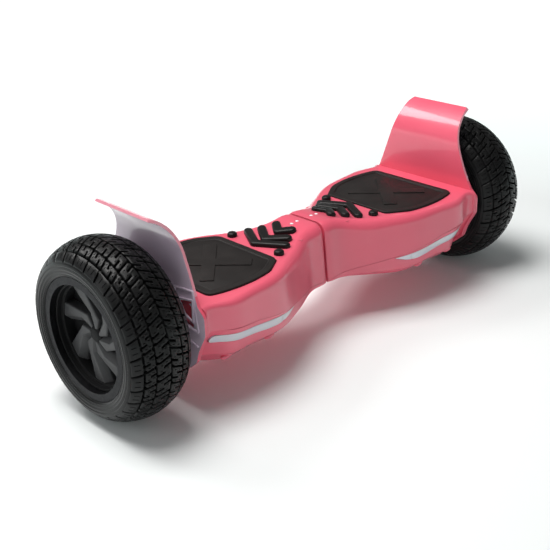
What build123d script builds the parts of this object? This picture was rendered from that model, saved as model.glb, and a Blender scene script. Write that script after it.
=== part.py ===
from build123d import *
import os
from collections import namedtuple
from math import atan2, cos, degrees, hypot, radians, sin

# Self-balancing hoverboard. Millimetres. X runs along the wheel axle, -Y is the front, +Z is up,
# and the origin is on the floor under the middle of the board.
# Each piece is made for the right half (+X) and mirrored about the YZ plane for the left half.

os.makedirs("parts", exist_ok=True)

# ---- overall sizes
wheel_radius = 108.0
tyre_width = 83.0
track = 618.0  # between the middle planes of the two wheels
deck_half_width = 95.0
waist_half_width = 40.0
deck_height = 30.0  # foot deck above the axle line
hump_rise = 10.0  # how far the waist stands above the foot deck
belly_depth = 58.0  # underside below the axle line, under the foot deck
waist_depth = 40.0  # underside below the axle line, at the split
crease_drop_end = 1.0  # parting crease below the axle line, at the wheel end
crease_drop_waist = 36.0

# ---- walls, gaps and fits
shell_wall = 3.0
split_gap = 4.0
seam_gap = 0.3
body_clearance = 0.4  # between a moving piece and what surrounds it
insert_clearance = 0.3
running_fit = 0.05
seat_fit = 0.02
tyre_side_gap = 17.5  # end cap to the tyre's inner face
shoulder_radius = 86.0
crown_power = 1.8
tyre_wall = 9.0

# ---- end cap and fender
cap_wall = 3.5
fender_base_half = 83.0
fender_mid_half = 64.0
fender_top_half = 48.0
fender_mid_rise = 77.0  # above the axle line
fender_rise = 136.4
fender_lift = 1.5  # start of the fender's bow above the foot deck
fender_curl = 54.0
fender_curl_rise = 84.0  # centre of the curl above the axle line
fender_curl_end = 70.0  # degrees of curl
fender_bow = 2.4
fender_corner = 9.0
axle_hole = 12.0  # radius of the hole the axle passes through
window_size = (24.0, 26.0)
window_centre = (62.0, 14.0)  # sideways, and above the axle line

# ---- foot pad
pad_inner = 100.0
pad_outer = 222.0
pad_inner_half = 53.0
pad_outer_half = 68.0
pad_bulge_half = 76.5
pad_shoulder = (128.0, 71.0)
pad_bulge_at = 178.0
pad_corner = 8.0
pad_proud = 2.5
pad_flange = 3.0
pad_flange_thick = 2.7
pad_travel = 1.2
plunger_radius = 3.0
plunger_at = (162.0, 18.0)

# ---- grips and indicators
bar_width = 9.5
bar_proud = 4.5
# each bar: tip x, tip y, and how far out the vertex lies
bars = [(67.0, 38.5, 20.0), (53.0, 28.0, 16.0), (36.0, 18.7, 11.0)]
stud_at = (87.0, 42.6)
stud_radius = 5.2
indicator_at = [13.0, 22.5]
indicator_radius = 2.2

# ---- light strip, in front view: its ends and lower edge, heights below the axle line
strip_tip = (96.0, 26.5)
strip_end = (229.0, 16.5)
strip_half_height = 5.0
strip_taper = 5.0  # how far the tip moves for each millimetre the outline grows
strip_belly = [(165.0, 30.5), (131.0, 34.0)]
board_thick = 1.6

# ---- frame
frame_plate = 4.0
frame_top = 12.0  # above the axle line
frame_rib = 12.0
frame_half = 62.0
frame_waist_half = 29.0
frame_start = 26.0
frame_end = 238.0
boss_radius = 16.0
boss_room = 1.0  # round the boss, in the split wall and in the frame
boss_start = 4.0
boss_end = 60.0
shaft_room = 10.0
boss_web = 2.0  # how far the web over the boss is wider on each side
leg_radius = 5.0
legs = [(72.0, 22.0, 40.0), (223.0, 46.0, 48.0)]  # x, y, how far below the axle line the leg ends
post_radius = 4.5
posts = [(43.0, 33.0), (232.0, 54.0)]
end_screw_at = (34.0, 4.0)
screw_radius = 2.0
screw_head_radius = 3.6
screw_head = 2.4

# ---- pivot
pivot_radius = 10.0
pivot_bore = 6.0
bush_wall = 3.0
bush_flange = 1.5
bush_length = 16.0
bush_flange_width = 2.0
circlip_thick = 1.2
circlip_depth = 0.8

# ---- axle and clamp
axle_radius = 8.0
axle_start = 204.0
clamp_length = 20.0
clamp_half = 22.0
clamp_drop = 14.0
clamp_bolt = 2.5
clamp_bolt_at = (6.0, 15.0)
clamp_bolt_head = 4.0
clamp_corner = 3.0

# ---- wheel: offsets along the axle from the wheel's middle plane, outward positive
bead_radius = 68.0
flange_radius = 73.0
flange_face = 38.5
flange_thick = 2.7
barrel_wall = 4.0
web_face = 8.0
web_wall = 4.0
hub_radius = 21.0
bearing_outer = 16.0
bearing_width = 9.0
bearing_ledge = 2.5
bearing_land = 0.6
outer_bearing = -5.0
inner_bearing = -34.0
axle_end = 3.0
axle_room = 1.0  # between the axle and the motor cover
rotor_outer = 62.0
rotor_wall = 5.0
magnet_thick = 4.0
magnet_count = 20
air_gap = 0.6
stator_middle = -15.0
stator_width = 16.0
stator_hub = 30.0
tooth_tip = 2.4
slot_opening = 2.5
coil_span = (34.0, 47.0)
rotor_width = 26.0
magnet_inset = 2.0
axle_collar = (4.0, 2.0)  # how far it stands out, and its length
slot_count = 18
tooth_width = 6.0
coil_thick = 2.6
cover_wall = 4.0
cover_screws = 6
cover_screw_radius = 2.0
cover_screw_head = (2.8, 2.0)

# ---- spoke cover
blade_count = 7
blade_depth = 12.0
blade_kink = (36.0, 25.0)  # radius, and degrees behind the blade's tip
blade_root_width = 9.0
blade_tip_width = 17.0
dome_radius = 12.0
dome_height = 12.5
cover_floor = 2.0
cover_steps = [(24.0, 5.0), (31.0, 2.5)]  # height of each ring step, and its wall
first_blade = 17.0

# ---- electrics
battery_size = (102.0, 70.0, 36.0)
battery_corner = 4.0
battery_at = (149.0, -26.0)
strap_wall = 2.0
strap_width = 12.0
strap_at = (-28.0, 28.0)
board_size = (98.0, 80.0)
board_at = (147.0, -24.0)
board_post_radius = 3.0
heat_sink = (68.0, 8.0, 12.0)
heat_sink_inset = 8.0
capacitor = (6.0, 14.0)  # radius and height
capacitor_pitch = 18.0
gyro_size = (66.0, 60.0)
gyro_at = 162.0
gyro_lift = 3.0
gyro_foot_radius = 2.5
gyro_switch = (10.0, 8.0, 4.4)
lead_radius = 4.0
socket_length = 8.0
port_at = (178.0, 10.0)
button_at = (142.0, 7.0)
collar_radius = 11.5
collar_proud = 1.5
collar_depth = 9.0
port_bore = 5.8
port_radius = 8.0
port_depth = 12.0
port_back = 3.0
pin_radius = 0.8
pin_length = 8.0
port_cap_thick = 2.0
port_cap_radius = 9.0
port_cap_tab = (6.0, 5.0)
button_radius = 6.0
housing_radius = 8.0
housing_depth = 14.0
button_travel = 1.0
button_edge = 0.6
button_length = 8.0

# ---- derived planes
axle_height = wheel_radius
wheel_mid = track / 2
cap_outer = wheel_mid - tyre_width / 2 - tyre_side_gap
cap_inner = cap_outer - cap_wall
body_end = cap_inner - seam_gap
body_start = split_gap / 2
deck_top = axle_height + deck_height
frame_deck = axle_height + frame_top
frame_under = frame_deck - frame_plate
pad_base = deck_top - shell_wall - insert_clearance
pad_under = pad_base - pad_flange_thick
switch_top = frame_deck + gyro_lift + board_thick + gyro_switch[2]
plunger_length = pad_under - switch_top - pad_travel - body_clearance

# The body's outline along X. x is a share of the half's length; the others run from 0 at the waist's value
# to 1 at the deck's value. edge is the radius between the top and the side, lean how far the side leans in.
# tuck scales how far the lower panel slants inwards.
Station = namedtuple("Station", "x width hump crease floor edge lean tuck")
stations = [
    Station(0.00, 0.00, 1.00, 0.00, 0.00, 14.0, 5.5, 0.2),
    Station(0.08, 0.04, 0.92, 0.05, 0.06, 15.0, 4.5, 0.2),
    Station(0.17, 0.16, 0.45, 0.13, 0.20, 16.0, 4.0, 0.2),
    Station(0.26, 0.38, 0.08, 0.22, 0.38, 16.0, 3.0, 0.25),
    Station(0.36, 0.59, 0.00, 0.31, 0.62, 14.0, 2.5, 0.35),
    Station(0.46, 0.80, 0.00, 0.42, 0.82, 12.0, 1.5, 0.5),
    Station(0.58, 0.94, 0.00, 0.60, 0.95, 10.0, 1.0, 0.75),
    Station(0.72, 1.00, 0.00, 0.77, 1.00, 9.0, 0.5, 0.8),
    Station(0.87, 0.99, 0.00, 0.89, 1.00, 8.0, 0.0, 0.9),
    Station(1.00, 0.965, 0.00, 1.00, 1.00, 8.0, 0.0, 1.0),
]
least_depth = 0.5  # of the lower section, where the wall takes all of it
# The lower panel's corners, as shares of the depth from crease to floor: tucked in, rounded in, down.
lower_corners = [
    (0.0, 0.0, 0.0), (0.235, 0.0, 0.42), (0.33, 0.0, 0.70), (0.33, 0.26, 0.93), (0.33, 0.386, 1.0)
]


def blend_between(start, end, share):
    return start + (end - start) * share


def station_x(station):
    return blend_between(body_start, body_end, station.x)


def half_width(station):
    return blend_between(waist_half_width, deck_half_width, station.width)


def top_height(station):
    return deck_top + hump_rise * station.hump


def crease_height(station):
    return axle_height - blend_between(crease_drop_waist, crease_drop_end, station.crease)


def floor_height(station):
    return axle_height - blend_between(waist_depth, belly_depth, station.floor)


def at_x(value, x):
    """A station value at any x, straight between its two stations."""
    for near, far in zip(stations, stations[1:]):
        if x <= station_x(far):
            share = (x - station_x(near)) / (station_x(far) - station_x(near))
            return blend_between(value(near), value(far), share)
    return value(stations[-1])


def save(part, node):
    part.label = node
    export_step(part, f"parts/{node}.step")


def save_pair(part, node):
    save(part, f"right_{node}")
    with BuildPart() as left:
        mirror(part, about=Plane.YZ)
    save(left.part, f"left_{node}")


# ---- body shells

def upper_outline(station, inset):
    """Corner points of the upper shell's section, from the crease to the flat top, on +Y."""
    half, top, edge = half_width(station), top_height(station), station.edge
    shoulder = half - station.lean
    middle = 1 - cos(radians(45))
    return {
        "crease": (half - inset, crease_height(station)),
        "side": (shoulder - inset, top - edge),
        "corner": (shoulder - inset - (edge - inset) * middle, top - inset - (edge - inset) * middle),
        "top": (shoulder - edge, top - inset),
    }


def lower_outline(station, inset):
    """Corner points of the lower shell's section, from the crease to the belly, on +Y."""
    half = half_width(station) - inset
    crease = crease_height(station) - seam_gap
    depth = max(crease - floor_height(station) - inset, least_depth)
    return [(half - (tucked * station.tuck + rounded) * depth, crease - down * depth)
            for tucked, rounded, down in lower_corners]


def mirrored(point):
    return (-point[0], point[1])


def upper_line(ring):
    """The upper section's line, from one crease over the top to the other."""
    other = {name: mirrored(point) for name, point in ring.items()}
    Line(ring["crease"], ring["side"])
    ThreePointArc(ring["side"], ring["corner"], ring["top"])
    Line(ring["top"], other["top"])
    ThreePointArc(other["top"], other["corner"], other["side"])
    Line(other["side"], other["crease"])


def upper_wall(station, near, far):
    """The upper shell's section between two insets, as one closed face."""
    outer, inner = upper_outline(station, near), upper_outline(station, far)
    with BuildSketch(Plane.YZ.offset(station_x(station))) as wall:
        with BuildLine():
            upper_line(outer)
            upper_line(inner)
            Line(outer["crease"], inner["crease"])
            Line(mirrored(outer["crease"]), mirrored(inner["crease"]))
        make_face()
    return wall.sketch


def lower_wall(station, near, far):
    """The lower shell's section between two insets, as one closed face."""
    outer, inner = lower_outline(station, near), lower_outline(station, far)
    ring = outer + [mirrored(p) for p in reversed(outer)] + [mirrored(p) for p in inner] + inner[::-1]
    with BuildSketch(Plane.YZ.offset(station_x(station))) as wall:
        with BuildLine():
            Polyline(*ring, close=True)
        make_face()
    return wall.sketch


def upper_section(station, inset):
    """The space inside the upper shell's section, closed straight across at the crease."""
    ring = upper_outline(station, inset)
    with BuildSketch(Plane.YZ.offset(station_x(station))) as section:
        with BuildLine():
            upper_line(ring)
            Line(mirrored(ring["crease"]), ring["crease"])
        make_face()
    return section.sketch


def lower_section(station, inset):
    """The space inside the lower shell's section, closed straight across at the crease."""
    points = lower_outline(station, inset)
    with BuildSketch(Plane.YZ.offset(station_x(station))) as section:
        with BuildLine():
            Polyline(*points, *[mirrored(p) for p in reversed(points)], close=True)
        make_face()
    return section.sketch


def pad_outline(plane, grow):
    """The foot pad's plan shape on a horizontal plane."""
    with BuildSketch(plane) as outline:
        with BuildLine():
            for side in (-1, 1):
                shoulder = (pad_shoulder[0], side * pad_shoulder[1])
                corner = (pad_outer, side * pad_outer_half)
                Line((pad_inner, side * pad_inner_half), shoulder)
                ThreePointArc(shoulder, (pad_bulge_at, side * pad_bulge_half), corner)
            Line((pad_inner, -pad_inner_half), (pad_inner, pad_inner_half))
            Line((pad_outer, -pad_outer_half), (pad_outer, pad_outer_half))
        make_face()
        fillet(outline.vertices(), radius=pad_corner)
        if grow:
            offset(amount=grow)
    return outline.sketch


def bar_plane(x):
    """The plane that lies on the shell's top at x."""
    step = 1.0
    rise = (at_x(top_height, x + step) - at_x(top_height, x - step)) / (2 * step)
    return Plane(origin=(x, 0, at_x(top_height, x)), x_dir=(1, 0, rise), z_dir=(-rise, 0, 1))


def bar_shape(plane, bar, grow):
    """One chevron: two round-ended arms that meet at the vertex."""
    tip_y, reach = bar[1] - bar_width / 2, bar[2]
    with BuildSketch(plane) as shape:
        for side in (-1, 1):
            with Locations((0, side * tip_y / 2)):
                SlotCenterToCenter(hypot(reach, tip_y), bar_width + 2 * grow,
                                   rotation=degrees(atan2(-side * tip_y, reach)))
    return shape.sketch


def bar_centre(bar):
    return bar[0] + bar[2] / 2


def grip_shapes(grow):
    """(plane, sketch) of each grip bar and stud."""
    shapes = []
    for bar in bars:
        plane = bar_plane(bar_centre(bar))
        shapes.append((plane, bar_shape(plane, bar, grow)))
    for side in (-1, 1):
        plane = Plane(origin=(stud_at[0], side * stud_at[1], at_x(top_height, stud_at[0])))
        with BuildSketch(plane) as stud:
            Circle(stud_radius + grow)
        shapes.append((plane, stud.sketch))
    return shapes


def make_upper_shell(rear_collars):
    with BuildPart() as shell:
        for station in stations:
            add(upper_wall(station, 0, shell_wall))
        loft()
        # end walls, at the split and behind the end cap
        extrude(upper_section(stations[0], shell_wall / 2), amount=shell_wall)
        extrude(upper_section(stations[-1], shell_wall / 2), amount=-shell_wall)
        # bosses that stand on the frame
        for x, y in posts:
            top = at_x(top_height, x) - shell_wall / 2
            for side in (-1, 1):
                with BuildSketch(Plane(origin=(x, side * y, frame_deck))):
                    Circle(post_radius)
                extrude(amount=top - frame_deck)
        if rear_collars:
            for x, rise in (port_at, button_at):
                with BuildSketch(Plane.XZ.offset(-at_x(half_width, x) - collar_proud)):
                    with Locations((x, axle_height + rise)):
                        Circle(collar_radius)
                extrude(amount=collar_depth)
        # openings
        extrude(pad_outline(Plane.XY.offset(deck_top - shell_wall * 2), body_clearance),
                amount=shell_wall * 4, mode=Mode.SUBTRACT)
        for plane, shape in grip_shapes(insert_clearance):
            extrude(shape, amount=hump_rise, both=True, mode=Mode.SUBTRACT)
        for x in indicator_at:
            with BuildSketch(Plane(origin=(x, 0, at_x(top_height, x)))):
                Circle(indicator_radius + insert_clearance)
            extrude(amount=hump_rise, both=True, mode=Mode.SUBTRACT)
        with BuildSketch(Plane.YZ.offset(body_start)):
            with Locations((0, axle_height)):
                Circle(boss_radius + boss_room)
        extrude(amount=shell_wall + 1, both=True, mode=Mode.SUBTRACT)
        with BuildSketch(Plane.YZ.offset(body_end)):
            with Locations((0, axle_height)):
                Circle(axle_hole)
            with Locations(*end_screw_places()):
                Circle(screw_radius + insert_clearance)
        extrude(amount=shell_wall + 1, both=True, mode=Mode.SUBTRACT)
        if rear_collars:
            for (x, rise), radius in ((port_at, port_radius), (button_at, housing_radius)):
                with BuildSketch(Plane.XZ.offset(-deck_half_width - 10)):
                    with Locations((x, axle_height + rise)):
                        Circle(radius + insert_clearance)
                extrude(amount=40, mode=Mode.SUBTRACT)
    return shell.part


def end_screw_places():
    return [(side * end_screw_at[0], axle_height + end_screw_at[1]) for side in (-1, 1)]


def strip_prism(grow):
    """The light strip's front outline, run through the front wall."""
    with BuildPart() as prism:
        with BuildSketch(Plane.XZ.offset(waist_half_width)):
            with BuildLine():
                tip = (strip_tip[0] - strip_taper * grow, axle_height - strip_tip[1])
                end_x, end_z = strip_end[0], axle_height - strip_end[1]
                half = strip_half_height + grow
                high, low = (end_x, end_z + half), (end_x, end_z - half)
                Line(tip, high)
                ThreePointArc(high, (end_x + half, end_z), low)
                Spline(low, *[(x, axle_height - drop - grow) for x, drop in strip_belly], tip)
            make_face()
        extrude(amount=deck_half_width)
    return prism.part


def lower_layer(near, far, stretch):
    """The lower shell's wall between two insets, over a stretch of stations."""
    with BuildPart() as layer:
        for station in stretch:
            add(lower_wall(station, near, far))
        loft()
    return layer.part


def make_lower_shell():
    with BuildPart() as shell:
        add(lower_layer(0, shell_wall, stations))
        extrude(lower_section(stations[-1], shell_wall / 2), amount=-shell_wall)
        for x, y, drop in legs:
            floor = at_x(floor_height, x) + shell_wall / 2
            for side in (-1, 1):
                with BuildSketch(Plane(origin=(x, side * y, floor))):
                    Circle(leg_radius)
                extrude(amount=axle_height - drop - floor)
                with BuildSketch(Plane(origin=(x, side * y, floor - shell_wall))):
                    Circle(screw_radius + insert_clearance)
                extrude(amount=axle_height - drop - floor + shell_wall + 1, mode=Mode.SUBTRACT)
                with BuildSketch(Plane(origin=(x, side * y, floor - shell_wall))):
                    Circle(screw_head_radius + insert_clearance)
                extrude(amount=shell_wall + screw_head, mode=Mode.SUBTRACT)
        with BuildSketch(Plane.YZ.offset(body_end)):
            with Locations((0, axle_height)):
                Circle(axle_hole)
        extrude(amount=shell_wall + 1, both=True, mode=Mode.SUBTRACT)
        add(strip_prism(insert_clearance), mode=Mode.SUBTRACT)
    return shell.part


def make_strip_layer(near, far, grow):
    """What fills the light strip's outline between two insets of the wall."""
    with BuildPart() as strip:
        add(lower_layer(near, far, stations[3:]))
        add(strip_prism(grow), mode=Mode.INTERSECT)
    return strip.part


def make_foot_pad():
    with BuildPart() as pad:
        extrude(pad_outline(Plane.XY.offset(pad_base), 0), amount=deck_top + pad_proud - pad_base)
        fillet(pad.faces().sort_by(Axis.Z)[-1].edges(), radius=pad_proud * 0.6)
        extrude(pad_outline(Plane.XY.offset(pad_base), pad_flange), amount=-pad_flange_thick)
        for side in (-1, 1):
            plane = Plane(origin=(plunger_at[0], side * plunger_at[1], pad_under))
            with BuildSketch(plane):
                Circle(plunger_radius)
            extrude(amount=-plunger_length)
    return pad.part


def make_grips():
    with BuildPart() as grips:
        for plane, shape in grip_shapes(0):
            extrude(shape, amount=bar_proud)
            extrude(shape, amount=-shell_wall)
    return grips.part


def make_indicators():
    with BuildPart() as lenses:
        for x in indicator_at:
            with BuildSketch(Plane(origin=(x, 0, at_x(top_height, x) - shell_wall))):
                Circle(indicator_radius)
            extrude(amount=shell_wall + insert_clearance)
    return lenses.part


def make_fender():
    """End cap and fender in one: its side profile run across the board, trimmed to its front outline."""
    curl_x, curl_z = cap_inner - fender_bow + fender_curl, axle_height + fender_curl_rise
    base = deck_top + fender_lift
    foot = axle_height - belly_depth
    bow_z = (base + curl_z) / 2

    def curl_point(radius, angle):
        return (curl_x - radius * cos(radians(angle)), curl_z + radius * sin(radians(angle)))

    with BuildPart() as fender:
        with BuildSketch(Plane.XZ) as profile:
            with BuildLine():
                for wall in (0, cap_wall):
                    radius = fender_curl - wall
                    Line((cap_inner + wall, foot), (cap_inner + wall, base))
                    ThreePointArc((cap_inner + wall, base), (cap_inner + wall - fender_bow, bow_z),
                                  curl_point(radius, 0))
                    ThreePointArc(curl_point(radius, 0), curl_point(radius, fender_curl_end / 2),
                                  curl_point(radius, fender_curl_end))
                Line((cap_inner, foot), (cap_outer, foot))
                Line(curl_point(fender_curl, fender_curl_end),
                     curl_point(fender_curl - cap_wall, fender_curl_end))
            make_face()
        extrude(amount=deck_half_width, both=True)
        with BuildSketch(Plane.YZ.offset(cap_inner - 2 * fender_bow)) as front:
            with BuildLine():
                end = stations[-1]
                ring = upper_outline(end, 0)
                top = axle_height + fender_rise
                for mirror_side in (False, True):
                    def place(point):
                        return mirrored(point) if mirror_side else point
                    Line(place(ring["crease"]), place(ring["side"]))
                    Line(place(ring["side"]), place((fender_base_half, base)))
                    Spline(place((fender_base_half, base)),
                           place((fender_mid_half, axle_height + fender_mid_rise)),
                           place((fender_top_half, top)))
                    lower = lower_outline(end, 0)
                    Line(place(ring["crease"]), place(lower[1]))
                    Polyline(*[place(p) for p in lower[1:]])
                Line((-fender_top_half, top), (fender_top_half, top))
                Line(lower[-1], mirrored(lower[-1]))
            make_face()
            fillet(front.vertices().group_by(Axis.Z)[-1], radius=fender_corner)
        extrude(amount=fender_curl + 2 * fender_bow, mode=Mode.INTERSECT)
        with BuildSketch(Plane.YZ.offset(cap_inner)):
            with Locations((0, axle_height)):
                Circle(axle_hole)
            with Locations(*end_screw_places()):
                Circle(screw_radius + insert_clearance)
            with Locations(*[(side * window_centre[0], axle_height + window_centre[1]) for side in (-1, 1)]):
                Rectangle(*window_size)
        extrude(amount=cap_wall, both=True, mode=Mode.SUBTRACT)
    return fender.part


# ---- frame, pivot, axle and clamp

def make_frame(bore, boss_face, board_posts_too):
    with BuildPart() as frame:
        outline = [(frame_start, frame_waist_half), (posts[0][0] + 8, 38.0), (112.0, frame_half),
                   (frame_end, frame_half)]
        outline = outline + [(x, -y) for x, y in reversed(outline)]
        with BuildSketch(Plane.XY.offset(frame_deck)) as plate:
            Polygon(*outline, align=None)
        extrude(amount=-frame_plate)
        with BuildSketch(Plane.XY.offset(frame_under)) as rib:
            Polygon(*outline, align=None)
            offset(amount=-frame_plate, mode=Mode.SUBTRACT)
        extrude(amount=-frame_rib)
        with BuildSketch(Plane(origin=(frame_end - frame_plate, 0, frame_under))):
            Rectangle(2 * frame_plate, 2 * frame_half)
        extrude(amount=-frame_rib)
        # room for the shaft's end, then the pivot boss
        with BuildSketch(Plane.YZ.offset(frame_start - 1)):
            with Locations((0, axle_height)):
                Circle(boss_radius + boss_room)
        extrude(amount=boss_end + shaft_room - frame_start + 1, mode=Mode.SUBTRACT)
        with BuildSketch(Plane.YZ.offset(boss_face)):
            with Locations((0, axle_height)):
                Circle(boss_radius)
        extrude(amount=boss_end - boss_face)
        with BuildSketch(Plane(origin=((frame_start + boss_end) / 2, 0, frame_under))):
            Rectangle(boss_end - frame_start, 2 * (boss_radius + boss_web))
        extrude(amount=frame_plate)
        if board_posts_too:
            top = axle_height + board_at[1] + board_thick
            with BuildSketch(Plane.XY.offset(top)):
                with Locations(*board_post_places()):
                    Circle(board_post_radius)
            extrude(amount=frame_under - top)
        # saddle over the axle
        with BuildSketch(Plane(origin=(clamp_middle(), 0, frame_under))):
            Rectangle(clamp_length, 2 * clamp_half)
        extrude(amount=-(frame_under - axle_height - insert_clearance / 2))
        for x, y, drop in legs:
            with BuildSketch(Plane.XY.offset(axle_height - drop)):
                with Locations((x, y), (x, -y)):
                    Circle(leg_radius)
            extrude(amount=frame_under - axle_height + drop)
        # bores
        with BuildSketch(Plane.YZ.offset(boss_face)):
            with Locations((0, axle_height)):
                Circle(bore + seat_fit)
        extrude(amount=boss_end - boss_face, mode=Mode.SUBTRACT)
        with BuildSketch(Plane.YZ.offset(axle_start - clamp_length)):
            with Locations((0, axle_height)):
                Circle(axle_radius + seat_fit)
        extrude(amount=frame_end, mode=Mode.SUBTRACT)
        with BuildSketch(Plane(origin=(frame_end - 2 * frame_plate, 0, axle_height))):
            Rectangle(4 * frame_plate + 2, 2 * axle_radius + 4)
        extrude(amount=-frame_rib, mode=Mode.SUBTRACT)
        for x, y in clamp_bolt_places():
            with BuildSketch(Plane(origin=(x, y, frame_deck))):
                Circle(clamp_bolt + seat_fit)
            extrude(amount=-frame_rib, mode=Mode.SUBTRACT)
        with BuildSketch(Plane.YZ.offset(frame_end)):
            with Locations(*end_screw_places()):
                Circle(screw_radius + seat_fit)
        extrude(amount=-2 * frame_plate, mode=Mode.SUBTRACT)
        for x, y, drop in legs:
            with BuildSketch(Plane.XY.offset(axle_height - drop)):
                with Locations((x, y), (x, -y)):
                    Circle(screw_radius + seat_fit)
            extrude(amount=2 * frame_rib, mode=Mode.SUBTRACT)
    return frame.part


def clamp_middle():
    return axle_start + 2 + clamp_length / 2


def clamp_bolt_places():
    dx, dy = clamp_bolt_at
    return [(clamp_middle() + i * dx, j * dy) for i in (-1, 1) for j in (-1, 1)]


def make_clamp():
    with BuildPart() as clamp:
        with BuildSketch(Plane(origin=(clamp_middle(), 0, axle_height - insert_clearance / 2))):
            Rectangle(clamp_length, 2 * clamp_half)
        extrude(amount=-clamp_drop)
        fillet(clamp.edges().filter_by(Axis.X).group_by(Axis.Z)[0], radius=clamp_corner)
        with BuildSketch(Plane.YZ.offset(axle_start)):
            with Locations((0, axle_height)):
                Circle(axle_radius + seat_fit)
        extrude(amount=2 * clamp_length, mode=Mode.SUBTRACT)
        for x, y in clamp_bolt_places():
            with BuildSketch(Plane(origin=(x, y, axle_height))):
                Circle(clamp_bolt + seat_fit)
            extrude(amount=-2 * clamp_drop, mode=Mode.SUBTRACT)
    return clamp.part


def make_clamp_bolts():
    with BuildPart() as bolts:
        foot = axle_height - insert_clearance / 2 - clamp_drop
        for x, y in clamp_bolt_places():
            with BuildSketch(Plane(origin=(x, y, foot - seat_fit))):
                RegularPolygon(2 * clamp_bolt, 6)
            extrude(amount=-clamp_bolt_head)
            with BuildSketch(Plane(origin=(x, y, foot - seat_fit))):
                Circle(clamp_bolt)
            extrude(amount=frame_deck - foot)
    return bolts.part


def make_screws():
    """Pan-head screws: through the lower shell into the frame's legs, and through the end cap."""
    with BuildPart() as screws:
        for x, y, drop in legs:
            seat = at_x(floor_height, x) + shell_wall / 2 + screw_head
            for side in (-1, 1):
                with BuildSketch(Plane(origin=(x, side * y, seat - seat_fit))):
                    Circle(screw_head_radius)
                extrude(amount=-screw_head)
                with BuildSketch(Plane(origin=(x, side * y, seat - seat_fit))):
                    Circle(screw_radius)
                extrude(amount=axle_height - drop + frame_rib - seat)
        for y, z in end_screw_places():
            plane = Plane(origin=(cap_outer + seat_fit, y, z), x_dir=(0, 1, 0), z_dir=(1, 0, 0))
            with BuildSketch(plane):
                Circle(screw_head_radius)
            extrude(amount=screw_head)
            with BuildSketch(plane):
                Circle(screw_radius)
            extrude(amount=-(cap_outer - frame_end + frame_plate))
    return screws.part


def tube_along_x(start, end, outer, inner=0.0):
    with BuildPart() as tube:
        with BuildSketch(Plane.YZ.offset(start)):
            with Locations((0, axle_height)):
                Circle(outer)
                if inner:
                    Circle(inner, mode=Mode.SUBTRACT)
        extrude(amount=end - start)
    return tube.part


def turned(points):
    """A ring turned about the axle line from (distance along X, radius) points."""
    with BuildPart() as ring:
        with BuildSketch(Plane.XZ):
            with BuildLine():
                Polyline(*[(x, axle_height + radius) for x, radius in points], close=True)
            make_face()
        revolve(axis=Axis((0, 0, axle_height), (1, 0, 0)))
    return ring.part


def disc_ring(start, end, outer, inner):
    return turned([(start, inner), (end, inner), (end, outer), (start, outer)])


def make_bushes():
    with BuildPart() as bushes:
        outer, inner = pivot_radius + bush_wall, pivot_radius + running_fit
        for face, way in ((boss_start, 1), (boss_end, -1)):
            rim = outer + bush_flange_width
            add(turned([
                (face - way * bush_flange, inner), (face + way * bush_length, inner),
                (face + way * bush_length, outer), (face, outer), (face, rim),
                (face - way * bush_flange, rim)]))
    return bushes.part


def make_pivot_shaft():
    groove = boss_end + bush_flange + insert_clearance
    with BuildPart() as shaft:
        add(tube_along_x(-boss_end, groove + 3 * circlip_thick, pivot_radius, pivot_bore))
        add(disc_ring(groove, groove + circlip_thick + seat_fit, 2 * pivot_radius,
                      pivot_radius - circlip_depth),
            mode=Mode.SUBTRACT)
    return shaft.part


def make_circlip():
    groove = boss_end + bush_flange + insert_clearance
    with BuildPart() as clip:
        add(disc_ring(groove + seat_fit / 2, groove + circlip_thick + seat_fit / 2,
                      pivot_radius + bush_wall, pivot_radius - circlip_depth + seat_fit))
        with BuildSketch(Plane(origin=(groove, 0, axle_height))):
            Rectangle(4 * circlip_thick, pivot_radius)
        extrude(amount=-2 * pivot_radius, mode=Mode.SUBTRACT)
    return clip.part


# ---- wheel

def from_mid(points):
    return [(wheel_mid + along, radius) for along, radius in points]


def crown_radius(along):
    """The tread's crown: full radius in the middle, falling to the shoulder at the edge."""
    share = 1 - abs(along / (tyre_width / 2)) ** crown_power
    return shoulder_radius + (wheel_radius - shoulder_radius) * max(share, 0.0) ** (1 / crown_power)


def make_tyre():
    half = tyre_width / 2
    along = [half * sin(radians(angle)) for angle in range(-90, 91, 15)]
    crown = [(offset_along, crown_radius(offset_along)) for offset_along in along]
    inner_face = flange_face - flange_thick - insert_clearance
    lip = flange_radius + insert_clearance
    side = [(half - 0.8, shoulder_radius - 7), (flange_face + 0.4, lip), (inner_face, lip),
            (inner_face, bead_radius + insert_clearance), (inner_face - 7, bead_radius + insert_clearance),
            (half - tyre_wall, shoulder_radius), (half / 2, wheel_radius - tyre_wall - 2)]
    other = [(-along, radius) for along, radius in reversed(side)]
    return turned(from_mid(crown + side + other))


def make_rim():
    hub_back = outer_bearing
    floor = web_face - web_wall
    edge = flange_face - flange_thick
    bore = bearing_outer + seat_fit
    return turned(from_mid([
        (-flange_face, flange_radius), (-edge, flange_radius), (-edge, bead_radius), (edge, bead_radius),
        (edge, flange_radius), (flange_face, flange_radius), (flange_face, bead_radius - barrel_wall),
        (web_face, bead_radius - barrel_wall), (web_face, 0), (floor, 0), (floor, bore), (hub_back, bore),
        (hub_back, hub_radius), (floor, hub_radius), (floor, rotor_outer), (-flange_face, rotor_outer)]))


def make_rotor_ring():
    start = wheel_mid + stator_middle - rotor_width / 2
    return disc_ring(start, start + rotor_width, rotor_outer - seat_fit, rotor_outer - rotor_wall)


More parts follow.
